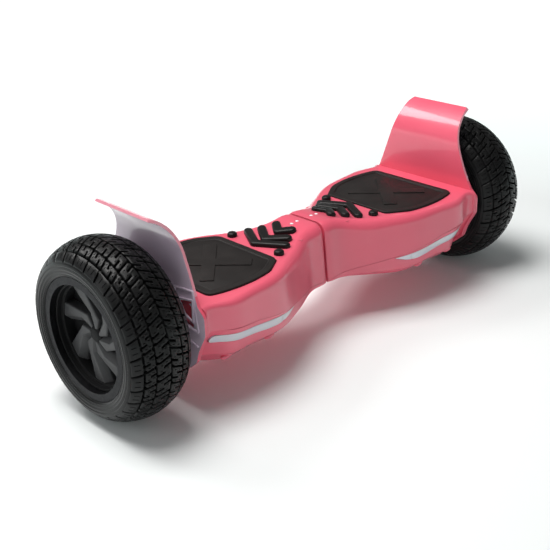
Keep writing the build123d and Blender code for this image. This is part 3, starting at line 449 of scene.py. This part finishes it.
for side, way in sides.items():
    window = outline("capWindow", [onCap(side, y, z, capPiece["lift"]) for y, z in capPiece["window"]])
    raiseFace(window, (way * capPiece["raise"], 0, 0))
    faceOut(window)
    chooseFaces(window, lambda face: facesWheel(face, way))
    bpy.ops.mesh.inset(thickness=capPiece["frame"], depth=0)
    bpy.ops.mesh.inset(thickness=capPiece["frameWall"], depth=-capPiece["recess"])
    leaveEdit()
    window.data.materials.append(linerPaint)
    window.data.materials.append(windowPaintedShade)
    # the window's middle face is a deep red sheet: painted shade of the coral wall behind the hole
    shadedWindowFace = max((face for face in window.data.polygons if isShadedWindowFace(face, way)), key=lambda face: face.area)
    shadedWindowFace.material_index = 1
    ribs = [capRib(side, start, end) for start, end in capPiece["ribs"]]
    for rib in ribs:
        rib.data.materials.append(linerPaint)
    capTrim = joinPieces([window] + ribs, side + "CapFrame")
    smoothBy(capTrim, capPiece["smoothAngle"])
    fit(capTrim, side + "_half", None, "coral_paint")
print("fenders and end cap frames made")


# tyre: one pitch of tread is cut flat, wrapped round the crown and repeated

tyrePiece = {
    "radius": 0.108, "halfWidth": 0.0415, "shoulderRadius": 0.086, "crownPower": 1.8,
    "pitches": 15, "lugHeight": 0.0062, "flatRadius": 0.100, "edgeRound": 0.0007,
    "sipeWidth": 0.0009, "sipeDepth": 0.0022, "grooveRise": 0.0006,
    "cutsAcross": 16, "cutsRound": (-6, 32, 4), "ringSteps": 180, "smoothAngle": 34,
}
# blocks of one pitch: (across the tread from -1 outside to 1 inside, degrees round the wheel)
treadLugs = [
    [(-.96, -6.4), (-.735, -3.5), (-.735, 6.6), (-.96, 4.2)],
    [(-.96, 5.5), (-.735, 7.9), (-.735, 18.9), (-.96, 16.3)],
    [(.725, -1.6), (.96, -3.5), (.96, 7.2), (.725, 9.1)],
    [(.725, 10.4), (.96, 8.5), (.96, 19.2), (.725, 21.1)],
]
# an S-shaped middle lug as shares of its width and height, and where each stands:
# from and to across, start and height in degrees, rise over its width
hookShape = [(.16, 0), (1, 0), (1, .56), (.90, .60), (.46, .60), (.46, .72), (1, .72), (1, .88),
             (.84, 1), (0, 1), (0, .44), (.10, .40), (.54, .40), (.54, .28), (0, .28), (0, .12)]
hookLugs = [(-.685, -.440, -2.9, 10.6, 3.0), (-.685, -.440, 9.1, 10.6, 3.0),
            (.432, .675, .8, 10.6, -2.2), (.432, .675, 12.8, 10.6, -2.2),
            (-.400, -.020, .8, 10.8, 3.6), (-.400, -.020, 12.8, 10.8, 3.6),
            (.020, .392, 8.6, 10.8, -3.6), (.020, .392, 20.6, 10.8, -3.6)]
hookSipes = [(.34, .14), (.74, .14), (.26, .52), (.76, .48), (.30, .86), (.68, .86)]
# sipes: middle across, middle round, length in mm, turn in degrees
treadSipes = [
    (-.85, -1.3, 5.0, 14), (-.85, 2.4, 5.0, 14), (-.85, 10.2, 5.0, 14), (-.85, 14.0, 5.0, 14),
    (.84, 1.0, 5.0, -10), (.84, 4.6, 5.0, -10), (.84, 13.0, 5.0, -10), (.84, 16.6, 5.0, -10),
]
hookSipe = {"length": 2.6, "turn": 4}  # the turn is for each degree of the lug's rise
for start, end, low, tall, rise in hookLugs:
    treadLugs.append([(start + (end - start) * u, low + tall * v + rise * u) for u, v in hookShape])
    treadSipes += [(start + (end - start) * u, low + tall * v + rise * u, hookSipe["length"],
                    hookSipe["turn"] * rise) for u, v in hookSipes]


def crownRadius(along):
    share = 1 - abs(along / tyrePiece["halfWidth"]) ** tyrePiece["crownPower"]
    drop = max(share, 0.0) ** (1 / tyrePiece["crownPower"])
    return tyrePiece["shoulderRadius"] + (tyrePiece["radius"] - tyrePiece["shoulderRadius"]) * drop


def flatPlace(across, angle, rise=0):
    return (across * tyrePiece["halfWidth"], math.radians(angle) * tyrePiece["flatRadius"], rise)


def flatPitch():
    lugs = []
    height = tyrePiece["lugHeight"]
    for corners in treadLugs:
        lug = outline("lug", [flatPlace(across, angle) for across, angle in corners])
        raiseFace(lug, (0, 0, height))
        faceOut(lug)
        chooseEdges(lug, lambda a, b: a.z > height / 2 and b.z > height / 2)
        bpy.ops.mesh.bevel(offset=tyrePiece["edgeRound"], segments=2, affect="EDGES")
        leaveEdit()
        lugs.append(lug)
    pitch = joinPieces(lugs, "treadPitch")
    for across, angle, length, turn in treadSipes:
        size = (length * mm, tyrePiece["sipeWidth"], 2 * tyrePiece["sipeDepth"])
        cutter = turnedBlock(flatPlace(across, angle, height), size, turn)
        useModifier(pitch, "BOOLEAN", operation="DIFFERENCE", object=cutter, solver="EXACT")
        bpy.data.objects.remove(cutter)
    cuts = tyrePiece["cutsAcross"]
    for step in range(1 - cuts, cuts):  # these edges let the tread follow the crown
        cutAcross(pitch, (step / cuts * tyrePiece["halfWidth"], 0, 0), (1, 0, 0))
    for angle in range(*tyrePiece["cutsRound"]):
        cutAcross(pitch, flatPlace(0, angle), (0, 1, 0))
    return pitch


def wrapPitch(pitch, mid, height):
    for vertex in pitch.data.vertices:
        along, turn, rise = vertex.co
        angle = turn / tyrePiece["flatRadius"]
        radius = crownRadius(along) - tyrePiece["lugHeight"] + rise
        vertex.co = (mid + along, -radius * math.cos(angle), height + radius * math.sin(angle))


def carcassProfile():  # half across, then the same back on the other side
    half = tyrePiece["halfWidth"]
    depth = tyrePiece["lugHeight"] - tyrePiece["grooveRise"]
    tread = [(half * across, crownRadius(half * across) - depth)
             for across in (0, .14, .28, .42, .54, .66, .76, .84, .90)]
    shoulder = [(half * across, crownRadius(half * across) - under * mm)
                for across, under in ((.935, 2.6), (.965, 0.8))]
    wall = [(.0411, .0885), (.0414, .0862), (.0410, .0855), (.0411, .0842), (.0414, .0835), (.0414, .0822),
            (.0409, .0815), (.0407, .0795), (.0409, .0788), (.0405, .0781), (.0400, .0762), (.0402, .0757),
            (.0396, .0750), (.0389, .0737), (.0380, .0733), (.0358, .0733)]
    outside = tread + shoulder + wall
    inside = [(.0340, .0800), (.0250, .0930), (0, .0960)]
    there = outside + inside[:-1]
    back = [(-along, radius) for along, radius in reversed(there[1:])]
    return there + [inside[-1]] + back


wheelHeight = tyrePiece["radius"]
wheelMid = -0.309  # the left wheel's middle along the axle
flat = flatPitch()
wrapPitch(flat, wheelMid, wheelHeight)
pitches = [flat]
for number in range(1, tyrePiece["pitches"]):
    nextPitch = copyPiece(flat, "pitch%d" % number)
    turn = Matrix.Rotation(math.radians(-number * 360 / tyrePiece["pitches"]), 4, "X")
    move = Matrix.Translation((0, 0, wheelHeight))
    nextPitch.data.transform(move @ turn @ move.inverted())
    pitches.append(nextPitch)
carcass = spunRing("carcass", carcassProfile(), (wheelMid, 0, wheelHeight), tyrePiece["ringSteps"])
leftTyre = joinPieces([carcass] + pitches, "leftTyre")
smoothBy(leftTyre, tyrePiece["smoothAngle"])
rightTyre = mirrorPiece(leftTyre, "rightTyre")
fit(leftTyre, "left_wheel", treadRubber, "tyre_rubber", "left_tyre")
fit(rightTyre, "right_wheel", treadRubber, "tyre_rubber", "right_tyre")
print("tyres made:", len(leftTyre.data.polygons), "faces each")


# hub cover: a dish with seven swept blades round a small dome

hubPiece = {
    "blades": 7, "firstBlade": 17.0, "kinkRadius": 0.024, "trail": 30.0, "rootRadius": 0.010,
    "tipRadius": 0.0622, "rootWidth": 0.014, "tipWidth": 0.027, "depth": 0.0117, "facet": 0.0075,
    "chamfer": 0.0012, "edgeRound": 0.0005, "floor": 0.0103, "sink": 0.001, "rootInset": 0.002,
    "ringSteps": 96, "smoothAngle": 14,
}


def wheelSpot(along, radius, angle):
    turn = math.radians(angle)
    return (wheelMid - along, -radius * math.cos(turn), wheelHeight + radius * math.sin(turn))


def bladePiece(angle):
    values = hubPiece
    behind = angle - values["trail"]
    halfTip = math.degrees(values["tipWidth"] / 2 / values["tipRadius"])
    halfKink = math.degrees((values["rootWidth"] + values["tipWidth"]) / 4 / values["kinkRadius"])
    halfRoot = math.degrees(values["rootWidth"] / 2 / (values["rootRadius"] + values["rootInset"]))
    low, tall = values["floor"] - values["sink"], values["depth"] + values["sink"]
    spots = [(values["rootRadius"], behind - halfRoot), (values["kinkRadius"], behind - halfKink),
             (values["tipRadius"], angle - halfTip), (values["tipRadius"], angle + halfTip),
             (values["kinkRadius"], behind + halfKink), (values["rootRadius"], behind + halfRoot)]
    blade = outline("blade", [wheelSpot(low, radius, turn) for radius, turn in spots])
    raiseFace(blade, (-tall, 0, 0))
    faceOut(blade)
    ridge = [Vector(wheelSpot(low + tall, radius, turn)) for radius, turn in spots]
    for first, size in ((3, "facet"), (0, "chamfer")):  # a wide facet ahead of the ridge, a small one behind
        middles = [(ridge[first] + ridge[first + 1]) / 2, (ridge[first + 1] + ridge[first + 2]) / 2]
        chooseEdges(blade, lambda a, b: any(((a + b) / 2 - middle).length < 0.8 * mm for middle in middles))
        bpy.ops.mesh.bevel(offset=values[size], segments=1, affect="EDGES")
        leaveEdit()
    roundEdges(blade, values["edgeRound"], 2, 20)
    return blade


# the dish from its middle hole out to the rim and back: (outwards of the wheel's middle, radius)
dishProfile = [(.0083, 0), (.0237, 0), (.0234, .0040), (.0226, .0072), (.0208, .0098), (.0180, .0113),
               (.0103, .0122), (.0103, .0580), (.0108, .0586), (.0232, .0586), (.0240, .0592), (.0240, .0608),
               (.0246, .0612), (.0304, .0612), (.0310, .0618), (.0310, .0632), (.0305, .0636), (.0083, .0637)]
dish = spunRing("dish", [(-along, radius) for along, radius in dishProfile], (wheelMid, 0, wheelHeight),
                hubPiece["ringSteps"])
blades = [bladePiece(hubPiece["firstBlade"] + number * 360 / hubPiece["blades"])
          for number in range(hubPiece["blades"])]
# the dish and its outer ring get the darker finish as painted shade, the blades the lighter plastic
for piece, finish in [(dish, dishPaintedShade)] + [(blade, hubPlastic) for blade in blades]:
    piece.data.materials.append(finish)
leftHub = joinPieces([dish] + blades, "leftHubCover")
smoothBy(leftHub, hubPiece["smoothAngle"])
rightHub = mirrorPiece(leftHub, "rightHubCover")
fit(leftHub, "left_wheel", None, "spoke_plastic", "left_spoke_cover")
fit(rightHub, "right_wheel", None, "spoke_plastic", "right_spoke_cover")
print("hub covers made")


# foot pads: a raised border, a groove and two crossed bars

padPiece = {
    "inner": 0.100, "outer": 0.222, "innerHalf": 0.053, "outerHalf": 0.068, "shoulder": (0.128, 0.071),
    "bulge": (0.178, 0.0765), "corner": 0.008, "base": 0.1320, "top": 0.1405, "border": 0.0080,
    "groove": 0.0030, "grooveDepth": 0.0018, "fieldDrop": 0.0011, "edgeRound": 0.0022, "barRaise": 0.0014,
    "barRound": 0.0005, "leastTop": 0.002, "hair": 0.00001, "smoothAngle": 35,
}
# crossed bars on the pad: middle x, middle y, length, width, turn in degrees
padBars = [(0.1630, 0.000, 0.106, 0.0165, 133.0), (0.1630, 0.000, 0.104, 0.0180, 47.0)]


def arcThrough(a, b, c, steps):  # points between a and c on the circle through all three
    (ax, ay), (bx, by), (cx, cy) = a, b, c
    aa, bb, cc = (x ** 2 + y ** 2 for x, y in (a, b, c))
    span = 2 * (ax * (by - cy) + bx * (cy - ay) + cx * (ay - by))
    midX = (aa * (by - cy) + bb * (cy - ay) + cc * (ay - by)) / span
    midY = (aa * (cx - bx) + bb * (ax - cx) + cc * (bx - ax)) / span
    radius = math.hypot(ax - midX, ay - midY)
    start, end = math.atan2(ay - midY, ax - midX), math.atan2(cy - midY, cx - midX)
    turns = [start + (end - start) * step / steps for step in range(1, steps)]
    return [(midX + radius * math.cos(turn), midY + radius * math.sin(turn)) for turn in turns]


def padOutline():
    values = padPiece
    corner = (values["outer"], values["outerHalf"])
    upper = [(values["inner"], values["innerHalf"]), values["shoulder"]]
    upper += arcThrough(values["shoulder"], values["bulge"], corner, 10) + [corner]
    return upper + [(x, -y) for x, y in reversed(upper)]


def padCorners(a, b):  # the outline's real corners, as edges that stand upright
    spots = [(padPiece["inner"], padPiece["innerHalf"]), (padPiece["outer"], padPiece["outerHalf"]),
             padPiece["shoulder"]]
    upright = math.hypot(a.x - b.x, a.y - b.y) < padPiece["hair"]
    return upright and any(math.hypot(a.x - x, abs(a.y) - y) < padPiece["hair"] for x, y in spots)


def makePad():
    values = padPiece
    pad = outline("rightPad", [(x, y, values["base"]) for x, y in padOutline()])
    raiseFace(pad, (0, 0, values["top"] - values["base"]))
    faceOut(pad)
    chooseEdges(pad, padCorners)
    bpy.ops.mesh.bevel(offset=values["corner"], segments=6, affect="EDGES")
    leaveEdit()
    chooseFaces(pad, lambda face: face.normal.z > 0.9 and face.area > values["leastTop"])
    bpy.ops.mesh.inset(thickness=values["border"], depth=0)
    bpy.ops.mesh.inset(thickness=values["groove"] / 2, depth=-values["grooveDepth"])
    bpy.ops.mesh.inset(thickness=values["groove"] / 2, depth=values["grooveDepth"] - values["fieldDrop"])
    leaveEdit()
    roundEdges(pad, values["edgeRound"], 4, 60)
    fieldTop = values["top"] - values["fieldDrop"]
    bars = [turnedBlock((x, y, fieldTop), (length, width, 2 * values["barRaise"]), turn)
            for x, y, length, width, turn in padBars]
    useModifier(bars[0], "BOOLEAN", operation="UNION", object=bars[1], solver="EXACT")
    bpy.data.objects.remove(bars[1])
    roundEdges(bars[0], values["barRound"], 3, 40)
    pad = joinPieces([pad, bars[0]], "rightPad")
    smoothBy(pad, values["smoothAngle"])
    return pad


rightPad = makePad()
leftPad = mirrorPiece(rightPad, "leftPad")
fit(rightPad, "right_foot_pad", padRubber, "pad_rubber", "right_foot_pad")
fit(leftPad, "left_foot_pad", padRubber, "pad_rubber", "left_foot_pad")
print("foot pads made")


# rubber grips: chevrons and studs with rounded tops

gripPiece = {"round": 0.0021, "segments": 4, "swell": 0.0012, "smoothAngle": 40}

for side in sides:
    grips = castCopy(side + "_grip_bars", side + "Grips")
    editAll(grips)
    bpy.ops.mesh.dissolve_limited(angle_limit=math.radians(1))
    leaveEdit()
    roundEdges(grips, gripPiece["round"], gripPiece["segments"], 50)
    useModifier(grips, "DISPLACE", strength=gripPiece["swell"], mid_level=0)
    smoothBy(grips, gripPiece["smoothAngle"])
    fit(grips, side + "_half", gripRubber, "pad_rubber", side + "_grip_bars")
print("grips made")


# light strips: a frosted lens laid in its slot, a hair proud of the paint

stripPiece = {
    "columns": 60, "rows": 8, "end": 0.2344, "endHalf": 0.0053, "leastEnd": 0.0001, "proud": 0.0004,
    "crown": 0.0006, "crownReach": 1.02, "thick": 0.0026, "beside": 0.0032, "edgeRound": 0.0005,
    "steady": 0.2200, "slopeRun": 0.012, "endLift": 0.0009, "boardBack": 0.0040, "smoothAngle": 40,
    # lines along the slot's edges on the right half: (x, height)
    "top": [(.0955, .0815), (.1300, .0857), (.1700, .0902), (.2050, .0941), (.2290, .0968)],
    "low": [(.0955, .0813), (.1010, .0792), (.1100, .0765), (.1200, .0745), (.1310, .0738),
            (.1480, .0750), (.1650, .0773), (.1950, .0815), (.2290, .0862)],
}
stripSkins = [skinOf("right_upper_shell"), skinOf("right_lower_shell")]


def between(points, x):  # height of a line of (x, height) points
    for (x0, z0), (x1, z1) in zip(points, points[1:]):
        if x <= x1:
            return z0 + (z1 - z0) * (x - x0) / (x1 - x0)
    return points[-1][1]


def stripEdges(x):  # lower and upper edge of the strip at x, with a round outer end
    low, top = between(stripPiece["low"], x), between(stripPiece["top"], x)
    into = x - (stripPiece["end"] - stripPiece["endHalf"])
    if into > 0:
        middle = (low + top) / 2
        half = (top - low) / 2 * math.sqrt(max(1 - (into / stripPiece["endHalf"]) ** 2, stripPiece["leastEnd"]))
        low, top = middle - half, middle + half
    return low, top


def hullFront(x, z):  # how far forward the painted hull reaches there
    spots = [skin.ray_cast(Vector((x, -farOut["y"], z)), Vector((0, 1, 0)))[0] for skin in stripSkins]
    return min((spot.y for spot in spots if spot is not None), default=None)


def slotDepth(x, height):  # the hull's front beside the slot; past the steady stretch it carries on straight
    last, step = stripPiece["steady"], stripPiece["slopeRun"]
    if x <= last:
        return hullFront(x, height(x))
    near, before = hullFront(last, height(last)), hullFront(last - step, height(last - step))
    return near + (near - before) * (x - last) / step


def lensSpot(run, rise):  # where the lens lies, at shares of its length and height
    values = stripPiece
    start = values["low"][0][0]
    x = start + (values["end"] - start) * math.sin(run * math.pi / 2)  # closer columns at the round end
    low, top = stripEdges(x)
    z = low + (top - low) * rise
    slotLow, slotTop = between(values["low"], x), between(values["top"], x)
    under = slotDepth(x, lambda place: between(values["low"], place) - values["beside"])
    over = slotDepth(x, lambda place: between(values["top"], place) + values["beside"])
    under, over = (over if under is None else under), (under if over is None else over)
    reach = (z - slotLow + values["beside"]) / (slotTop - slotLow + 2 * values["beside"])
    crown = values["crown"] * math.sin(math.pi * rise) * math.sin(math.pi * min(run * values["crownReach"], 1))
    past = max(x - values["steady"], 0)
    lift = values["proud"] + values["endLift"] * past / (values["end"] - values["steady"])
    return (x, under + (over - under) * reach - lift - crown, z)


def makeLens():
    values = stripPiece
    bpy.ops.object.select_all(action="DESELECT")
    bpy.ops.mesh.primitive_grid_add(x_subdivisions=values["columns"], y_subdivisions=values["rows"], size=1)
    lens = bpy.context.object
    lens.name = "rightLightLens"
    for vertex in lens.data.vertices:
        vertex.co = lensSpot(vertex.co.x + 0.5, vertex.co.y + 0.5)
    faceOut(lens)
    if sum(face.normal.y for face in lens.data.polygons) > 0:  # the sheet has to look forwards
        lens.data.flip_normals()
    useModifier(lens, "SOLIDIFY", thickness=values["thick"], offset=-1)
    roundEdges(lens, values["edgeRound"], 2, 50)
    smoothBy(lens, values["smoothAngle"])
    return lens


rightLens = makeLens()
leftLens = mirrorPiece(rightLens, "leftLightLens")
fit(rightLens, "right_half", stripLens, "strip_lens", "right_light_lens")
fit(leftLens, "left_half", stripLens, "strip_lens", "left_light_lens")
for side in sides:  # the boards behind the lenses sit back from the slots
    board = castCopy(side + "_light_board", side + "LightBoard")
    board.data.transform(Matrix.Translation((0, stripPiece["boardBack"], 0)))
    smoothBy(board, 30)
    fit(board, side + "_half", boardMask, "circuit_board", side + "_light_board")
print("light strips made")


# small painted stops on the front and back of the lower shells

stopPiece = {"spots": [(.207, .0590), (.141, .0600)], "size": (.0085, .0032, .0036)}  # spots are (x, z)

for side, way in sides.items():
    skin = skinOf(side + "_lower_shell")
    stops = []
    for x, z in stopPiece["spots"]:
        for face in (-1, 1):
            spot = skin.ray_cast(Vector((way * x, face * farOut["y"], z)), Vector((0, -face, 0)))[0]
            if spot is None:
                continue
            bpy.ops.object.select_all(action="DESELECT")
            bpy.ops.mesh.primitive_uv_sphere_add(segments=24, ring_count=12, radius=1, location=spot)
            stop = bpy.context.object
            stop.scale = stopPiece["size"]
            settle(stop)
            stops.append(stop)
    if stops:
        bumpers = joinPieces(stops, side + "LowerStops")
        smoothBy(bumpers, 60)
        fit(bumpers, side + "_half", coralPaint, "coral_paint")
print("lower stops made")


# the other pieces keep their shape and get smooth edges and a finish

keptPieces = [
    ("indicator_lenses", "half", indicatorWhite, "indicator_white"),
    ("rim", "wheel", blackAlloy, "black_alloy"), ("motor_cover", "wheel", castAlloy, "cast_aluminium"),
    ("axle", "half", zincSteel, "zinc_steel"), ("frame", "half", castAlloy, "cast_aluminium"),
    ("shell_screws", "half", zincSteel, "zinc_steel"), ("cover_screws", "wheel", zincSteel, "zinc_steel"),
]
for part, body, finish, slotName in keptPieces:
    for side in sides:
        words = part.split("_")
        piece = castCopy(side + "_" + part, side + "".join(word.title() for word in words))
        smoothBy(piece, 30)
        fit(piece, side + "_" + body, finish, slotName, side + "_" + part)

innerFinishes = {
    "axle_clamp": castAlloy, "clamp_bolts": zincSteel, "gyro_board": boardMask, "main_board": boardMask,
    "battery_pack": cellWrap, "battery_straps": zincSteel, "stator": coreSteel, "stator_coils": enamelCopper,
    "rotor_ring": zincSteel, "magnets": nickelPlate, "wheel_bearings": zincSteel, "motor_lead": blackPlastic,
    "pivot_bushes": sinterBronze, "pivot_shaft": zincSteel, "pivot_circlip": zincSteel,
    "charge_port": blackPlastic, "port_cap": gripRubber, "power_button": blackPlastic,
    "power_switch": blackPlastic,
}
for node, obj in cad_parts.items():
    for part, finish in innerFinishes.items():
        if node.endswith(part):
            obj.data.materials.clear()
            obj.data.materials.append(finish)
print("kept pieces finished")


# floor, lights and camera

# the floor's tone and its glow lean cyan: a painted tint that cancels the pink bounce light in the floor's
# shadow
studio = {
    "floorSize": 120.0, "floorTone": (0.850, 0.882, 0.882), "paperRough": 0.9, "paperGlint": 0.1,
    "floorGlow": 0.03, "farGlow": 1.05, "glowTint": (0.84, 1.0, 0.99), "glowFrom": 0.60, "glowTo": 1.9,
    "sky": 0.16, "camera": (-0.8602, -0.8570, 0.6306), "yaw": 43.22, "pitch": 24.86, "roll": -1.97,
    "lens": 66.05, "sensor": 36,
}
# name, place, aimed at, width, height, watts, colour
lamps = [
    ("topBox", (-0.35, 0.25, 1.85), (0.0, 0.0, 0.1), 1.1, 0.9, 34.0, (1.0, 0.985, 0.97)),
    ("backBox", (-0.5, 1.35, 1.55), (0.0, 0.0, 0.1), 0.9, 0.6, 15.0, (1.0, 0.99, 0.98)),
    ("frontFill", (-1.4, -1.5, 0.95), (-0.1, 0.0, 0.08), 1.4, 1.2, 1.3, (1.0, 0.99, 0.99)),
    ("sideStrip", (-1.7, 0.4, 0.8), (-0.3, 0.0, 0.1), 0.4, 1.4, 4.6, (0.98, 0.99, 1.0)),
]

bpy.ops.object.select_all(action="DESELECT")
bpy.ops.mesh.primitive_plane_add(size=studio["floorSize"], location=(0, 0, 0))
floor = bpy.context.object
floor.name = "studioFloor"
floorFinish, floorTree, floorShader = newFinish("studioPaper", studio["floorTone"], studio["paperRough"])
floorShader.inputs["Emission Color"].default_value = (*studio["glowTint"], 1)
floorPlace = floorTree.nodes.new("ShaderNodeTexCoord")
floorReach = floorTree.nodes.new("ShaderNodeVectorMath")
floorReach.operation = "LENGTH"
floorTree.links.new(floorPlace.outputs["Object"], floorReach.inputs[0])
farGlow = floorTree.nodes.new("ShaderNodeMapRange")  # the paper brightens away from the object
for name, value in (("From Min", studio["glowFrom"]), ("From Max", studio["glowTo"]),
                    ("To Min", studio["floorGlow"]), ("To Max", studio["farGlow"])):
    farGlow.inputs[name].default_value = value
floorTree.links.new(floorReach.outputs["Value"], farGlow.inputs["Value"])
floorTree.links.new(farGlow.outputs["Result"], floorShader.inputs["Emission Strength"])
floorShader.inputs["Specular IOR Level"].default_value = studio["paperGlint"]
floor.data.materials.append(floorFinish)

world = bpy.data.worlds.new("studioLight")
bpy.context.scene.world = world
world.use_nodes = True
world.node_tree.nodes["Background"].inputs["Color"].default_value = (1, 1, 1, 1)
world.node_tree.nodes["Background"].inputs["Strength"].default_value = studio["sky"]

for name, place, target, width, height, watts, colour in lamps:
    light = bpy.data.lights.new(name, "AREA")
    light.shape = "RECTANGLE"
    light.size, light.size_y = width, height
    light.energy = watts
    light.color = colour
    lamp = bpy.data.objects.new(name, light)
    lamp.location = place
    lamp.rotation_euler = (Vector(target) - Vector(place)).to_track_quat("-Z", "Y").to_euler()
    bpy.context.scene.collection.objects.link(lamp)

yaw, pitch, roll = (math.radians(studio[name]) for name in ("yaw", "pitch", "roll"))
look = Vector((math.sin(yaw) * math.cos(pitch), math.cos(yaw) * math.cos(pitch), -math.sin(pitch)))
right = look.cross(Vector((0, 0, 1))).normalized()
up = right.cross(look)
rolledRight = math.cos(roll) * right + math.sin(roll) * up
rolledUp = -math.sin(roll) * right + math.cos(roll) * up
lensData = bpy.data.cameras.new("viewCamera")
lensData.lens = studio["lens"]
lensData.sensor_width = studio["sensor"]
camera = bpy.data.objects.new("viewCamera", lensData)
turned = Matrix((rolledRight, rolledUp, -look)).transposed().to_4x4()
camera.matrix_world = Matrix.Translation(studio["camera"]) @ turned
bpy.context.scene.collection.objects.link(camera)
bpy.context.scene.camera = camera
bpy.context.scene.view_settings.view_transform = "Standard"
print("studio made")
